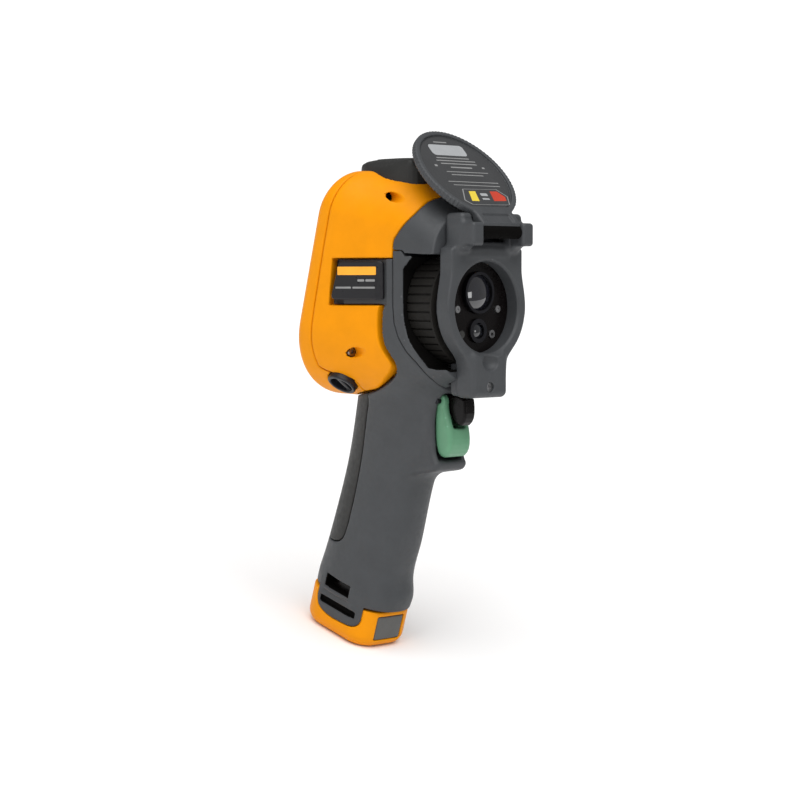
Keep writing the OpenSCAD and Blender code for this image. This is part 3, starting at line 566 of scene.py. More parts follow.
def front_bezel(x, y, z):
    side = np.abs(x)
    flat = either(np.hypot(x, z) - RING_R, box(x, 0 * y, z, *FLANGE, 2), 4)
    flat = either(flat, box(x, 0 * y, z, *FOOT_FLANGE, 2.6), 9)
    ring = both(both(flat, -y, 1.4), y - RING_DEPTH, 0.3)
    lug = either(box(side, y, z, *LUG, 1.8), box(side, y, z, *CROWN, 2.4), 3)
    shape = either(either(ring, lug, 3.5), box(x, y, z, *FOOT, 2.6), 4)
    shape = either(shape, box(x, y, z, *WEB, 1.5), 2)
    opening = np.hypot(x, z) - OPENING_R - np.maximum(BEVEL_DEPTH - y, 0) * BEVEL_SLOPE
    shape = without(shape, opening, 0.3)
    scoop = np.sqrt((x / SCOOP_WIDTH) ** 2 + (y - SCOOP[0]) ** 2 + (z - SCOOP[1]) ** 2) - SCOOP_R
    shape = without(shape, scoop, 0.8)
    shape = without(shape, disc(x, z - RING_SCREW_Z, y, RING_SCREW_R, -9, 0.6), 0.3)
    shape = without(shape, disc(x, z, y, WHEEL_ROOM, RING_DEPTH, FAR), 0.3)
    along, up = cover_coordinates(y, z, COVER_CLOSED)
    beside, before, behind = COVER_ROOM
    room = both(cover_plan(x, along, -beside), slab(up, COVER_LOW - before, COVER_TOP + behind))
    shape = without(shape, room, 0.3)
    return without(shape, disc(y - COVER_AXIS[0], z - COVER_AXIS[1], x, PIN_HOLE, -PIN_END, PIN_END), 0.2)


def cover_coordinates(y, z, turn=0.0):
    """Along the lens cover from its hinge, and up from the hinge's plane, once it has turned from open."""
    return turned(y - COVER_AXIS[0], z - COVER_AXIS[1], COVER_LEAN + turn)


COVER_REACH = 39.0
COVER_R = 31.7
COVER_T = 4.0
COVER_LOW = 0.9
COVER_TOP = COVER_LOW + COVER_T
COVER_RIM = 3.0
COVER_ROOM = (0.6, 0.5, 0.35)  # space beside, before and behind the closed cover
ROOT_HALF = 14.4
ROOT_END = 11.6
SHOULDER = [[22, 20], [22, 30]]  # where the root has widened into the disc
PANEL_START = 14.0
PANEL_DEPTH = 1.4
RIBS = 84
RIB_HEIGHT = 0.2
RIB_START = 16.0
BARREL_R = 3.5
BARREL_GAP = 0.35
ARM = ((-14.5, 3.0, -3.2), (14.5, 9, COVER_TOP))
DIP = ((-10.6, 2.4, COVER_TOP - 0.9), (10.6, 8.4, 12))


def cover_plan(x, along, inset=0.0):
    """Outline of the lens cover: a disc that runs into a root between the lugs."""
    half = [[across - inset, at] for across, at in [[ROOT_HALF, 1], [ROOT_HALF, ROOT_END], *SHOULDER]]
    root = outline(x, along, [*half, *[[-across, at] for across, at in reversed(half)]])
    return either(np.hypot(x, along - COVER_REACH) - COVER_R + inset, root, 2)


def lens_cover(x, y, z):
    along, up = cover_coordinates(y, z)
    angle = np.arctan2(x, along - COVER_REACH)
    ribs = RIB_HEIGHT * np.cos(RIBS * angle) * (along > RIB_START)
    plate = both(cover_plan(x, along) + ribs, slab(up, COVER_LOW, COVER_TOP), 1.1)
    inside = np.hypot(x, along - COVER_REACH) - COVER_R + COVER_RIM
    panel = both(np.maximum(inside, PANEL_START - along), COVER_TOP - PANEL_DEPTH - up)
    shape = without(plate, panel, 0.5)
    barrel = both(np.hypot(along, up) - BARREL_R, np.abs(x) - LUG_X + BARREL_GAP, 0.5)
    shape = either(shape, either(barrel, box(x, along, up, *ARM, 1.4), 1.0), 1.2)
    shape = without(shape, box(x, along, up, *DIP, 0.8), 0.6)
    return without(shape, disc(along, up, x, PIN_HOLE, -FAR, FAR))


# ------ top cover and port door
DOOR_HALF = 14.0
TOP = soften([[30.8, 50], [30.8, 67], [33, 74], [37, 78.6], [40, 79.5], [69, 79.5], [74.6, 75.4],
              [74.6, 50]], 1)
TOP_PLAN = [[8.4, 31.6], [17.5, 33], [21.5, 36.6], [24.1, 41.4], [26, 45.6], [27.4, 53],
            [26.8, 62], [24.5, 70], [20, 75.5]]
TOP_OUTLINE = soften([*TOP_PLAN, *[[-half, y] for half, y in reversed(TOP_PLAN)]], 1)
TOP_BEVEL = 99.8  # half width and height together on the bevelled long edges
DOOR_AXIS = (46.6, 77.6)
DOOR_ROOM = DOOR_HALF + 0.45
SWING_R = 2.9  # room for the front edge of the door as it swings
SEAT_OVERLAP = 0.6  # the shells run this far under the cover's edge
SEAT_DEPTH = 1.6
COVER_SINK = 1.2  # how deep the cover sits in the shells
# Two opposite corners of the bay of the ports, the door's leaf and the recesses for leaf and lip
BAY = ((-12.4, 48.6, 56), (12.4, 66.4, FAR))
LEAF = ((-DOOR_HALF, 45.2, 77.4), (DOOR_HALF, 69, 79.6))
LEAF_RECESS = ((-DOOR_ROOM, 44.6, 77), (DOOR_ROOM, FAR, FAR))
LIP_RECESS = ((-DOOR_ROOM, 67, 75.3), (DOOR_ROOM, FAR, FAR))
LIP = [[66, 79.6], [69, 79.6], [72.2, 77.2], [71.6, 76], [66, 77.4]]
NAIL_GRIP = (70.6, 80.6)
NAIL_GRIP_R = 2.2
DOOR_PIN_R = 0.9


def top_prism(x, y, z, grow=0.0):
    side = np.abs(x)
    bevel = (side + z - TOP_BEVEL) * math.sqrt(0.5)
    return both(both(outline(y, z, TOP) - grow, outline(x, y, TOP_OUTLINE) - grow, 1.2), bevel - grow, 2.5)


def top_seat(x, y, z):
    """The space that the top cover takes out of the shells."""
    return both(top_prism(x, y, z, -SEAT_OVERLAP), -head_form(x, y, z, SEAT_DEPTH))


def port_bay(x, y, z):
    return box(x, y, z, *BAY, 1.5)


def top_cover(x, y, z):
    shape = both(top_prism(x, y, z), -head_form(x, y, z, COVER_SINK))
    recess = either(box(x, y, z, *LEAF_RECESS, 0.4), box(x, y, z, *LIP_RECESS, 0.4))
    swing = disc(y - DOOR_AXIS[0], z - DOOR_AXIS[1], x, SWING_R, -DOOR_ROOM, DOOR_ROOM, 0.3)
    shape = without(shape, np.minimum(recess, swing), 0.4)
    return without(shape, port_bay(x, y, z), 0.4)


def port_door(x, y, z):
    lip = both(outline(y, z, LIP), np.abs(x) - DOOR_HALF, 0.5)
    grip = disc(y - NAIL_GRIP[0], z - NAIL_GRIP[1], x, NAIL_GRIP_R, -5, 5, 0.5)
    shape = without(either(box(x, y, z, *LEAF, 0.7), lip, 0.4), grip, 0.4)
    return without(shape, disc(y - DOOR_AXIS[0], z - DOOR_AXIS[1], x, DOOR_PIN_R, -FAR, FAR))


# ------ triggers
TRIGGER_AXIS = (27.0, -50.0)
TRIGGER_HALF = 8.5
TRIGGER_HUB = 3.6
SMALL_HALF = 4.2
SMALL_SLOT = ((-SMALL_HALF - 0.4, 0, -64.8), (SMALL_HALF + 0.4, 40, -30))
TRIGGER = soften([[24, -46.8], [23.4, -54], [21.6, -60], [19.8, -66], [19.2, -72], [20.4, -77.4],
                  [24, -80.6], [29, -79.4], [31.4, -72], [31.6, -60], [31, -46.8]], 1)
SMALL_TRIGGER = soften([[13.2, -46.8], [12.2, -55], [13.2, -60.4], [17, -63.8], [21.6, -61.4], [24.2, -56],
                        [30, -52.4], [30.6, -46.8]], 1)


def primary_trigger(x, y, z):
    shape = both(outline(y, z, TRIGGER), np.abs(x) - TRIGGER_HALF, 2.6)
    dy, dz = y - TRIGGER_AXIS[0], z - TRIGGER_AXIS[1]
    shape = either(shape, disc(dy, dz, x, TRIGGER_HUB, -TRIGGER_HALF, TRIGGER_HALF, 0.6), 1)
    return without(shape, box(x, y, z, *SMALL_SLOT, 1.5), 0.9)


def secondary_trigger(x, y, z):
    return both(outline(y, z, SMALL_TRIGGER), np.abs(x) - SMALL_HALF, 1.6)


# ------ battery base, in the row frame
BASE_FRONT = -23.5
BASE_BACK = 31.0
BASE_HALF = 20.0
FRONT_R = 14.0
BACK_R = 18.0
LATCH_HALF = 9.6
LATCH_Z = (5.5, 19.0)
LATCH_GAP = 0.4
LATCH_DEPTH = 5.4  # of the latch's recess in the base
BASE_GAP = 0.8  # extra width of the dark line round the top of the base
BASE_ROUND = 7.0


def base_plan(x, y, inset=0.0):
    middle = (BASE_FRONT + BASE_BACK) / 2
    half = (BASE_BACK - BASE_FRONT) / 2
    r = np.where(y > middle, BACK_R, FRONT_R)
    qx, qy = np.abs(x) - BASE_HALF + r, np.abs(y - middle) - half + r
    return np.hypot(np.maximum(qx, 0), np.maximum(qy, 0)) + np.minimum(np.maximum(qx, qy), 0) - r + inset


def battery_base(x, y, z):
    shape = both(both(base_plan(x, y), -z, BASE_ROUND), z - BASE_TOP + SEAM + BASE_GAP, 0.8)
    notch = box(x, y, z, (-LATCH_HALF - LATCH_GAP, BASE_FRONT - 3, LATCH_Z[0] - LATCH_GAP),
                (LATCH_HALF + LATCH_GAP, BASE_FRONT + LATCH_DEPTH, LATCH_Z[1] + LATCH_GAP), 1.2)
    shape = without(shape, notch, 0.5)
    seat = both(outline(y, z, TONGUE) - 1.5 * SEAM, TONGUE_IN - 0.4 - np.abs(x), 0.4)
    return without(shape, seat, 0.5)


def battery_latch(x, y, z):
    return both(base_plan(x, y, 0.35), box(x, y, z, (-LATCH_HALF, BASE_FRONT - 3, LATCH_Z[0]),
                                           (LATCH_HALF, BASE_FRONT + 3, LATCH_Z[1]), 1.0), 0.7)


# ------ materials
def shade(color, factor):
    return (*[min(1.0, c * factor) for c in color], 1)


class Surface:
    """A material whose colour, roughness and relief come from noise in the object's own metres."""

    def __init__(self, name, **sockets):
        self.name = name
        self.material = bpy.data.materials.new(name)
        self.material.use_nodes = True
        self.tree = self.material.node_tree
        self.shader = self.tree.nodes["Principled BSDF"]
        self.place = self.tree.nodes.new("ShaderNodeTexCoord").outputs["Object"]
        self.relief = None
        for socket, value in sockets.items():
            self.shader.inputs[socket.replace("_", " ")].default_value = value

    def node(self, kind, **inputs):
        made = self.tree.nodes.new("ShaderNode" + kind)
        for socket, value in inputs.items():
            self.feed(made.inputs[socket.replace("_", " ")], value)
        return made

    def feed(self, socket, value):
        if isinstance(value, bpy.types.NodeSocket):
            self.tree.links.new(value, socket)
        else:
            socket.default_value = value

    def noise(self, scale, detail=3.0, rough=0.55):
        made = self.node("TexNoise", Vector=self.place, Scale=scale, Detail=detail, Roughness=rough)
        return made.outputs["Fac"]

    def stretched(self, scale, ratio, detail=2.0):
        """Noise drawn out along Z."""
        mapped = self.node("Mapping", Vector=self.place, Scale=(scale, scale, scale / ratio))
        made = self.node("TexNoise", Vector=mapped.outputs["Vector"], Scale=1.0, Detail=detail)
        return made.outputs["Fac"]

    def ramp(self, fac, stops):
        made = self.node("ValToRGB", Fac=fac)
        elements = made.color_ramp.elements
        while len(elements) < len(stops):
            elements.new(0.5)
        for element, (at, color) in zip(elements, stops):
            element.position, element.color = at, color
        return made.outputs["Color"]

    def mix(self, fac, a, b):
        made = self.tree.nodes.new("ShaderNodeMix")
        made.data_type = "RGBA"
        for place, value in ((0, fac), (6, a), (7, b)):
            self.feed(made.inputs[place], value)
        return made.outputs[2]

    def color(self, color, mottle=0.06, scale=90.0):
        """Uneven colour, with a little more of it in patches."""
        stops = [(0.32, shade(color, 1 - mottle)), (0.68, shade(color, 1 + mottle))]
        self.tone = self.ramp(self.noise(scale, 4.0), stops)
        self.link("Base Color", self.tone)
        return self

    def over(self, mask, color):
        """Another colour where the mask is 1."""
        self.tone = self.mix(mask, self.tone, (*color, 1))
        self.link("Base Color", self.tone)
        return self

    def fleck(self, color, scale, low, high):
        """Specks of another colour."""
        spots = self.ramp(self.noise(scale, 2.0), [(low, (0, 0, 0, 1)), (high, (1, 1, 1, 1))])
        return self.over(spots, color)

    def paint_edge_highlight(self, color, amount=0.5):
        """Edges painted lighter: a painted highlight along them."""
        sharp = self.tree.nodes.new("ShaderNodeNewGeometry").outputs["Pointiness"]
        edge = self.ramp(sharp, [(0.54, (0, 0, 0, 1)), (0.63, (amount, amount, amount, 1))])
        return self.over(edge, color)

    def rough(self, low, high, scale=420.0):
        span = self.node("MapRange", Value=self.noise(scale, 3.0), From_Min=0.3, From_Max=0.7,
                         To_Min=low, To_Max=high)
        self.link("Roughness", span.outputs["Result"])
        return self

    def grain(self, height, scale=None, source=None, strength=1.0):
        """Relief of this height in metres."""
        made = self.node("Bump", Strength=strength, Distance=height,
                         Height=source if source else self.noise(scale, 3.0, 0.6))
        if self.relief:
            self.tree.links.new(self.relief, made.inputs["Normal"])
        self.relief = made.outputs["Normal"]
        self.link("Normal", self.relief)
        return self

    def link(self, socket, value):
        self.tree.links.new(value, self.shader.inputs[socket])


SATIN = 0.35


def moulded_plastic(name, color, low, high, edge, grain=0.00003, specular=SATIN, mottle=0.06):
    surface = Surface(name, Specular_IOR_Level=specular)
    surface.color(color, mottle).rough(low, high)
    # painted highlight: sharp edges made lighter, where light catches them
    if edge:
        surface.paint_edge_highlight(edge)
    return surface.grain(grain, 2600.0).grain(grain * 1.6, 900.0, strength=0.35)


def glossy_plastic(name, color, low=0.1, high=0.2, specular=0.4, coat=0.0):
    surface = Surface(name, Specular_IOR_Level=specular, Coat_Weight=coat, Coat_Roughness=0.05)
    return surface.color(color, 0.1, 60.0).rough(low, high, 180.0).grain(0.000004, 600.0)


def metal(name, color, low, high, scale=700.0, height=0.00001):
    surface = Surface(name, Metallic=1.0)
    surface.color(color, 0.1, 160.0).rough(low, high, 900.0)
    return surface.grain(height, source=surface.stretched(scale * 4, 12.0)).grain(height, scale)


def rubber():
    surface = Surface("dark_rubber", Specular_IOR_Level=0.15)
    surface.color((0.012, 0.011, 0.0098), 0.14, 140.0).rough(0.5, 0.7)
    surface.fleck((0.022, 0.021, 0.019), 1800.0, 0.62, 0.74)
    return surface.grain(0.00005, 1500.0)


def circuit_board():
    surface = Surface("board", Specular_IOR_Level=0.5)
    surface.color((0.012, 0.10, 0.035), 0.15, 240.0).rough(0.22, 0.38)
    bricks = surface.node("TexBrick", Vector=surface.place, Scale=420.0, Mortar_Size=0.06)
    surface.over(bricks.outputs["Fac"], (0.05, 0.24, 0.09))
    return surface.grain(0.00004, source=bricks.outputs["Fac"])


def cell_wrap():
    surface = Surface("cell_wrap", Specular_IOR_Level=0.5, Coat_Weight=0.3)
    surface.color((0.05, 0.14, 0.38), 0.12, 50.0).rough(0.16, 0.32)
    return surface.grain(0.00012, source=surface.stretched(300.0, 8.0))


def glass_panel():
    surface = Surface("clear_glass", Specular_IOR_Level=0.5, Coat_Weight=1.0, Coat_Roughness=0.03)
    surface.color((0.006, 0.007, 0.010), 0.25, 30.0).rough(0.05, 0.12, 60.0)
    return surface.grain(0.000003, 90.0)


def lens_coating():
    surface = Surface("ir_glass", Specular_IOR_Level=0.8, Coat_Weight=1.0, Coat_Roughness=0.02)
    surface.color((0.004, 0.004, 0.008), 0.3, 120.0).rough(0.04, 0.09, 120.0)
    return surface.grain(0.000002, 300.0)


# Colours of the painted highlight on sharp edges
GREY_HIGHLIGHT = (0.11, 0.114, 0.12)
YELLOW_HIGHLIGHT = (0.88, 0.36, 0.005)
# Name, colour, lowest and highest roughness, colour of the painted highlight on edges, and height of the grain
SURFACES = [
    moulded_plastic("grey_plastic", (0.050, 0.053, 0.057), 0.44, 0.58, GREY_HIGHLIGHT),
    moulded_plastic("dark_plastic", (0.018, 0.018, 0.017), 0.45, 0.6, (0.06, 0.06, 0.058)),
    moulded_plastic("yellow_plastic", (0.82, 0.285, 0.0), 0.42, 0.54, YELLOW_HIGHLIGHT, 0.000018, 0.12, 0.035),
    rubber(),
    moulded_plastic("badge_plastic", (0.011, 0.0105, 0.0125), 0.26, 0.38, (0.07, 0.07, 0.08), 0.000012),
    moulded_plastic("anchor_plastic", (0.014, 0.014, 0.017), 0.3, 0.45, (0.06, 0.06, 0.07)),
    moulded_plastic("green_plastic", (0.115, 0.285, 0.165), 0.3, 0.42, (0.2, 0.42, 0.28), 0.000016),
    glossy_plastic("black_plastic", (0.004, 0.003, 0.003), 0.2, 0.3, 0.16),
    moulded_plastic("latch_grey", (0.100, 0.100, 0.096), 0.44, 0.58, (0.16, 0.16, 0.155)),
    # painted shade: a near-black finish for faces in recesses and slots, where shade falls
    moulded_plastic("painted_shade_black", (0.0035, 0.0032, 0.003), 0.7, 0.85, None, 0.00001, 0.03),
    metal("black_metal", (0.035, 0.035, 0.04), 0.3, 0.42),
    lens_coating(),
    glass_panel(),
    glossy_plastic("led_lens", (0.02, 0.02, 0.018), 0.1, 0.2, 0.5, 1.0),
    metal("steel", (0.30, 0.30, 0.305), 0.28, 0.42),
    metal("frame_metal", (0.5, 0.51, 0.52), 0.38, 0.55, 400.0, 0.00003),
    circuit_board(),
    cell_wrap(),
    metal("contact_metal", (0.72, 0.50, 0.16), 0.2, 0.34),
    moulded_plastic("panel_print", (0.040, 0.041, 0.043), 0.42, 0.55, None, 0.00001),
    moulded_plastic("light_print", (0.25, 0.25, 0.25), 0.45, 0.6, None, 0.00001, SATIN, 0.12),
    moulded_plastic("grey_patch", (0.36, 0.37, 0.38), 0.4, 0.55, None, 0.00001, SATIN, 0.05),
    moulded_plastic("orange_print", (0.93, 0.40, 0.03), 0.35, 0.5, None, 0.00001),
    moulded_plastic("yellow_print", (0.72, 0.55, 0.05), 0.4, 0.5, None, 0.00001),
    moulded_plastic("red_print", (0.50, 0.045, 0.02), 0.4, 0.5, None, 0.00001),
]
MATERIALS = {surface.name: surface.material for surface in SURFACES}
SLOT = {entry["node"]: entry["material_slot"] for entry in frame["record"]["subparts"]}
FINISH = {**SLOT, "trigger_pin": "black_metal", "battery_latch": "latch_grey",
          "lens_cover_label": "panel_print"}


def dress(obj, name):
    obj.data.materials.clear()
    obj.data.materials.append(MATERIALS[name])


for node, obj in frame["nodes"].items():
    dress(obj, FINISH[node])

# ------ building the pieces
# Piece, shape, the node it stands for, body, frame, grid step, and room round the node's box
PIECES = [
    ("shroud", side_shroud, "side_shroud", "housing", HEAD, CELL, 0),
    ("case_rear", rear_case, "rear_case", "housing", HEAD, CELL, 0),
    ("housing_front", front_housing, "front_housing", "housing", ROW, CELL, 3),
    ("cover_handle", handle_rear_cover, "handle_rear_cover", "housing", ROW, CELL, 1),
    ("dome", front_dome, "front_dome", "housing", HEAD, CELL, 0),
    ("guard_left_shell", guard, "guard_left", "housing", HEAD, FINE, 0),
    ("guard_right_shell", guard, "guard_right", "housing", HEAD, FINE, 0),
    ("bezel", front_bezel, "front_bezel", "housing", HEAD, FINE, 1),
    ("cover_lens", lens_cover, "lens_cover", "lens_cover", HEAD, FINE, 1),
    ("cover_top", top_cover, "top_cover", "housing", HEAD, FINE, 0),
    ("door_port", port_door, "port_door", "port_door", HEAD, FINE, 0.5),
    ("trigger_main", primary_trigger, "primary_trigger", "primary_trigger", HEAD, FINE, 0.5),
    ("trigger_small", secondary_trigger, "secondary_trigger", "secondary_trigger", HEAD, FINE, 0.5),
    ("base_battery", battery_base, "battery_base", "battery", ROW, FINE, 0.5),
    ("latch_battery", battery_latch, "battery_latch", "battery_latch", ROW, FINE, 0.5),
    ("anchor_left", strap_anchor, "strap_anchor_left", "housing", HEAD, FINE, 1),
    ("anchor_right", strap_anchor, "strap_anchor_right", "housing", HEAD, FINE, 1),
]


def corners_in(place, node):
    """The node's box, in the piece's own millimetres."""
    low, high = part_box(node)
    back = place.inverted()
    points = np.array([back @ Vector((a, b, c)) for a in (low.x, high.x) for b in (low.y, high.y)
                       for c in (low.z, high.z)])
    return points.min(0), points.max(0)


def stand_in(piece, node, body):
    """The piece is shown in the node's place, with its finish."""
    dress(piece, FINISH[node])
    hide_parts(node)
    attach(piece, body)


SHADE_REACH = 0.4  # faces this near a recess's wall get its painted shade
SHADE_MARGIN = 0.7  # width of the recess's rim that is left without painted shade
POCKET_EDGE = 0.9
WINDOW_REACH = 1.5
SLOT_REACH = 0.35
POCKET_SHADE_SPAN = (-2.5, 0.7)  # the painted shade at the end of a pocket, before and past its depth
BARREL_SHADE_END = 2.8  # painted shade on the hinge barrel reaches up to here along the cover


def paint_shade(piece, place, recess):
    """The faces inside the recess are painted black, as painted shade where shade falls."""
    piece.data.materials.append(MATERIALS["painted_shade_black"])
    back = place.inverted()
    middles = np.array([back @ face.center for face in piece.data.polygons])
    for face, dark in zip(piece.data.polygons, recess(*middles.T)):
        face.material_index = int(dark)


# Painted shade on the walls of the guard's finger window
def window_wall_shade(x, y, z):
    return (outline(y, z, WINDOW) < WINDOW_REACH) & (head_form(x, y, z) < -SHADE_MARGIN)


# Painted shade at the deep ends of the screw pockets
def pocket_end_shade(x, y, z):
    ends = [(np.hypot(np.abs(x) - px, z - pz) < POCKET_R + SHADE_REACH)
            & (slab(y - depth, *POCKET_SHADE_SPAN) < 0) for px, pz, depth, _ in POCKETS]
    return np.logical_or(*ends) & (head_form(x, y, z) < -POCKET_EDGE)


# Painted shadow on the hinge barrel, under the lens cover's hinge
def hinge_barrel_shade(x, y, z):
    along, up = cover_coordinates(y, z)
    return (along < BARREL_SHADE_END) & (np.hypot(along, up) < BARREL_R + SHADE_REACH)


# Painted shade in the strap slot and the slit of the tongue
def handle_slot_shade(x, y, z):
    slot = np.minimum(outline(y, z, STRAP_SLOT), outline(y, z, SLIT_OUTLINE))
    return (slot < SLOT_REACH) & (grip_form(x, y, z) < -SHADE_MARGIN)


# For each piece, the faces that get painted shade
PAINTED_SHADE = {"guard_left": window_wall_shade, "guard_right": window_wall_shade, "side_shroud": pocket_end_shade,
            "front_housing": handle_slot_shade, "lens_cover": hinge_barrel_shade}
for name, shape, node, body, place, cell, spare in PIECES:
    lo, hi = corners_in(place, node)
    piece = moulded(name, shape, lo - spare, hi + spare, place, cell)
    stand_in(piece, node, body)
    if node in PAINTED_SHADE:
        paint_shade(piece, place, PAINTED_SHADE[node])


SIDES = ((-1, "left"), (1, "right"))
SHADE_LAP = 0.6  # how far a strip of painted shade reaches past the opening before it
# Inner and outer face of the strips of painted shade, from the middle of the handle
SLIT_SHADE = (TONGUE_IN + 0.05, TONGUE_IN + 0.9)
STRAP_SHADE = (SLOT_IN - 0.6, SLOT_IN + 0.5)


def shade_strips(name, near, far, points):
    """A black strip of painted shade behind an opening in the handle, on both sides."""
    low, high = np.min(points, 0) - SHADE_LAP, np.max(points, 0) + SHADE_LAP
    for side, word in SIDES:
        lo = np.array([min(side * near, side * far), *low])
        hi = np.array([max(side * near, side * far), *high])
        piece = moulded(name + word, lambda x, y, z: box(x, y, z, lo, hi, 0.2), lo, hi, ROW, FINE)
        dress(piece, "painted_shade_black")
        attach(piece, "housing")


# Black strips of painted shade behind the slit and the strap slot
shade_strips("slit_shade_", *SLIT_SHADE, SLIT_OUTLINE)
shade_strips("strap_shade_", *STRAP_SHADE, STRAP_SLOT)


# ------ printed tiles and badges
CORNER_STEPS = 4


def rounded(half_u, half_v, r, u=0.0, v=0.0):
    """Outline of a rounded rectangle about (u, v)."""
    points = []
    for k, (a, b) in enumerate(((1, 1), (-1, 1), (-1, -1), (1, -1))):
        middle_u, middle_v = u + a * (half_u - r), v + b * (half_v - r)
        for step in range(CORNER_STEPS + 1):
            turn = math.radians(90 * (k + step / CORNER_STEPS))
            points.append((middle_u + r * math.cos(turn), middle_v + r * math.sin(turn)))
    return points


def tile(name, outlines, low, high, place, body, material):
    """A thin layer made of closed outlines, between two heights."""
    vertices, faces = [], []
    for points in outlines:
        n, start = len(points), len(vertices)
        vertices += [(*p, low) for p in points] + [(*p, high) for p in points]
        faces += [tuple(start + n + i for i in range(n)), tuple(start + i for i in reversed(range(n)))]
        faces += [(start + i, start + (i + 1) % n, start + n + (i + 1) % n, start + n + i) for i in range(n)]
    mesh = bpy.data.meshes.new(name)
    mesh.from_pydata(vertices, [], faces)
    mesh.transform(place)
    piece = placed(name, mesh)
    dress(piece, material)
    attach(piece, body)


def line_of(u0, u1, v, half):
    return rounded((u1 - u0) / 2, half, half * 0.6, (u0 + u1) / 2, v)


BADGE_TOP = 0.6  # face of the badge, above the middle of the wall's badge point
BADGE_BEVEL = 12.6  # the face slopes down past here
BADGE_SLOPE = 0.3
BADGE_BACK = -2.2
BADGE_CORNER = 1.8
# Corners of the badge, less their rounding: its rear end leans with the rear case
BADGE_PLAN = [(14.4, 9.3), (-8.4, 9.3), (-12.6, -7.2), (14.6, -7.2)]
BADGE_BOX = ((-16.5, -10, -3), (17.5, 11.5, 2))
BADGE_CELL = 0.3
PRINT_LIFT = 0.06  # print stands this far off the face under it
PRINT_BASE = 0.4
# Plain band and bars in place of lettering: half width, half height, corner, and middle of the
# band; then start, end, height and half thickness of each bar
BAND = (11.6, 2.2, 0.5, 1.0, 6.1)
BARS = ((1.6, 5.6, 1.0, 0.6), (6.4, 12.0, 1.0, 0.6), (-11.8, -2.4, -2.8, 0.5), (-1.4, 12.0, -2.8, 0.5))


def badge_plate(u, v, w):
    plan = outline(u, v, BADGE_PLAN) - BADGE_CORNER
    slope = ((w - BADGE_TOP) + BADGE_SLOPE * (u - BADGE_BEVEL)) / math.hypot(1, BADGE_SLOPE)
    return both(both(plan, slab(w, BADGE_BACK, BADGE_TOP), 0.4), slope, 0.3)


def badge_print(name, outlines, place, material):
    tile(name, outlines, PRINT_BASE, BADGE_TOP + PRINT_LIFT, place, "housing", material)


for side, word in SIDES:
    outward = Matrix(((0, 0, side), (side, 0, 0), (0, 1, 0))).to_4x4()
    place = (HEAD @ Matrix.Translation((side * BADGE_MID[0], BADGE_MID[1], BADGE_MID[2]))
             @ Matrix.Rotation(-side * BADGE_TURN, 4, "Z") @ outward)
    plate = moulded("badge_" + word, badge_plate, *BADGE_BOX, place, BADGE_CELL)
    stand_in(plate, "side_badge_" + word, "housing")
    badge_print("band_" + word, [rounded(*BAND)], place, "orange_print")
    badge_print("bars_" + word, [line_of(*bar) for bar in BARS], place, "light_print")

cover_place = HEAD @ Matrix.Translation((0, *COVER_AXIS)) @ Matrix.Rotation(COVER_LEAN, 4, "X")
PANEL_R = 28.2
PANEL_LOW = 2.9
PANEL_TOP = 3.85
PANEL_BOX = ((-29, 13, 2.5), (29, 68, 4.5))
PANEL_CELL = 0.45
LAYER = 0.03  # step between layers of print


def label_panel(x, along, up):
    plan = both(np.hypot(x, along - COVER_REACH) - PANEL_R, PANEL_START + 0.6 - along, 0.6)
    return both(plan, slab(up, PANEL_LOW, PANEL_TOP), 0.15)


panel = moulded("label_cover", label_panel, *PANEL_BOX, cover_place, PANEL_CELL)
stand_in(panel, "lens_cover_label", "lens_cover")
# Generic print: a blank patch, plain lines (start, end, distance from the hinge and half
# thickness), and a framed strip with two colour blocks
PATCH = (13.2, 4.0, 2.2, -1.2, 56.6)
PRINT_LINES = [(-8, 2, 62.6, 0.35), (-14, 11, 50.6, 0.35), (-15.4, 14.3, 48.5, 0.35),
               (-13.6, 13.9, 46.3, 0.35), (-8, 8.4, 43.6, 0.45), (-13.5, 18.3, 40.2, 0.25),
               (-11.3, 13.1, 38.0, 0.3), (-17.5, 21, 32.8, 0.25), (-15.3, 20.4, 30.3, 0.25),
               (-19.5, -17.4, 44.5, 0.7), (16.4, 18.4, 44.0, 0.6)]
MARK_LINES = [(0.2, 5.6, 23.6, 1.0), (-0.4, 5.0, 20.4, 0.6)]
STRIP_FRAME = [(-11, 27.4), (15.8, 28.0), (21.0, 22.8), (18.2, 16.4), (-11.2, 15.9), (-15.2, 19.0)]
STRIP_YELLOW = [(-2.2, 26.0), (-7.2, 25.8), (-9.6, 18.6), (-4.0, 18.6)]
STRIP_RED = [(14.8, 26.4), (9.2, 26.2), (7.6, 19.0), (17.4, 19.4), (18.6, 22.4)]
FIELD_SHARE = 0.955  # of the frame, inside its edge


def inset_outline(points, share):
    middle = np.mean(points, 0)
    return [tuple(middle + (np.array(p) - middle) * share) for p in points]


def print_layer(name, outlines, material, step=0):
    tile(name, outlines, PANEL_TOP - PRINT_BASE, PANEL_TOP + PRINT_LIFT + LAYER * step, cover_place,
         "lens_cover", material)


print_layer("patch_cover", [rounded(*PATCH)], "grey_patch")
print_layer("lines_cover", [line_of(*line) for line in PRINT_LINES], "light_print")
print_layer("strip_edge", [STRIP_FRAME], "light_print")
print_layer("strip_field", [inset_outline(STRIP_FRAME, FIELD_SHARE)], "panel_print", 1)
print_layer("strip_yellow", [STRIP_YELLOW], "yellow_print", 2)
print_layer("strip_red", [STRIP_RED], "red_print", 2)
print_layer("strip_mark", [line_of(*line) for line in MARK_LINES], "grey_patch", 2)


# ------ floor, lights and camera
FLOOR_HALF = 14.0
FLOOR_COLOR = (0.97, 0.97, 0.97)
WORLD_STRENGTH = 0.3
LIGHT_AIM = Vector((0, 0, 0.15))
# A broad soft light from above and two softboxes: name, kind, place, strength and size
LIGHTS = [
    ("sky", "SUN", (-0.32, -0.2, 1.2), 2.95, math.radians(70)),
    ("key", "AREA", (-1.2, -0.4, 0.7), 1.6, 0.3),
    ("fill", "AREA", (0.4, -1.4, 0.5), 1.0, 0.3),
]


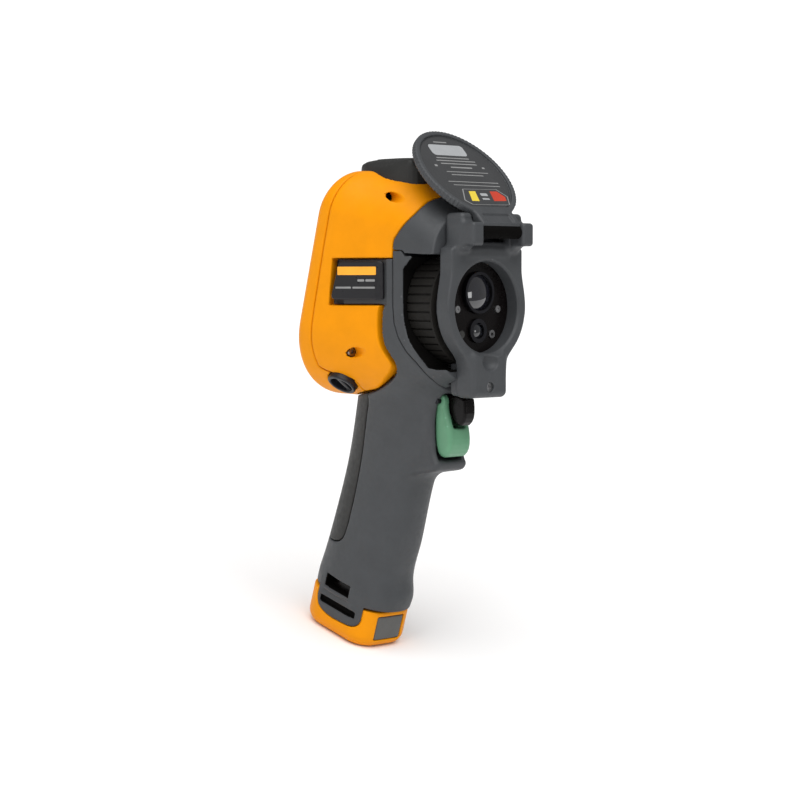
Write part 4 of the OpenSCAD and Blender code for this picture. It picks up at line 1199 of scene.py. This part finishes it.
def pale_floor():
    mesh = bpy.data.meshes.new("floor")
    corners = [(a * FLOOR_HALF, b * FLOOR_HALF, 0) for a, b in ((-1, -1), (1, -1), (1, 1), (-1, 1))]
    mesh.from_pydata(corners, [], [(0, 1, 2, 3)])
    floor = placed("floor", mesh)
    paper = Surface("floor", Specular_IOR_Level=0.1)
    paper.color(FLOOR_COLOR, 0.005, 3.0).rough(0.8, 0.9, 30.0)
    mesh.materials.append(paper.material)


def studio():
    world = bpy.data.worlds.new("studio")
    bpy.context.scene.world = world
    world.use_nodes = True
    background = world.node_tree.nodes["Background"]
    background.inputs["Color"].default_value = (1, 1, 1, 1)
    background.inputs["Strength"].default_value = WORLD_STRENGTH
    for name, kind, place, power, size in LIGHTS:
        data = bpy.data.lights.new(name, kind)
        data.energy = power
        if kind == "SUN":
            data.angle = size
        else:
            data.size = size
        lamp = placed(name, data)
        lamp.location = place
        lamp.rotation_euler = (LIGHT_AIM - Vector(place)).to_track_quat("-Z", "Y").to_euler()
    bpy.context.scene.view_settings.view_transform = "Standard"


VIEW_SIDE = math.radians(45)  # camera to the left of the lens axis
VIEW_RISE = math.radians(3)  # and above it
VIEW_DISTANCE = 1200.0
VIEW_SHIFT = (46.3, 48.7)  # right and up from the view's middle to the lens
VIEW_WIDTH = 421.05  # of the picture, where the lens is
SENSOR = 36.0
VIEW_END = 30.0


def camera():
    back = Vector((-math.sin(VIEW_SIDE) * math.cos(VIEW_RISE), -math.cos(VIEW_SIDE) * math.cos(VIEW_RISE),
                   math.sin(VIEW_RISE)))
    right = Vector((math.cos(VIEW_SIDE), -math.sin(VIEW_SIDE), 0))
    up = back.cross(right)
    place = back * VIEW_DISTANCE - right * VIEW_SHIFT[0] - up * VIEW_SHIFT[1]
    turn = Matrix.Rotation(-HEAD_PITCH, 3, "X")
    basis = Matrix((turn @ right, turn @ up, turn @ back)).transposed().to_4x4()
    data = bpy.data.cameras.new("camera")
    data.sensor_width = SENSOR
    data.lens = VIEW_DISTANCE * SENSOR / VIEW_WIDTH
    data.clip_end = VIEW_END
    eye = placed("camera", data)
    eye.matrix_world = Matrix.Translation(HEAD @ place) @ basis
    bpy.context.scene.camera = eye


pale_floor()
studio()
camera()
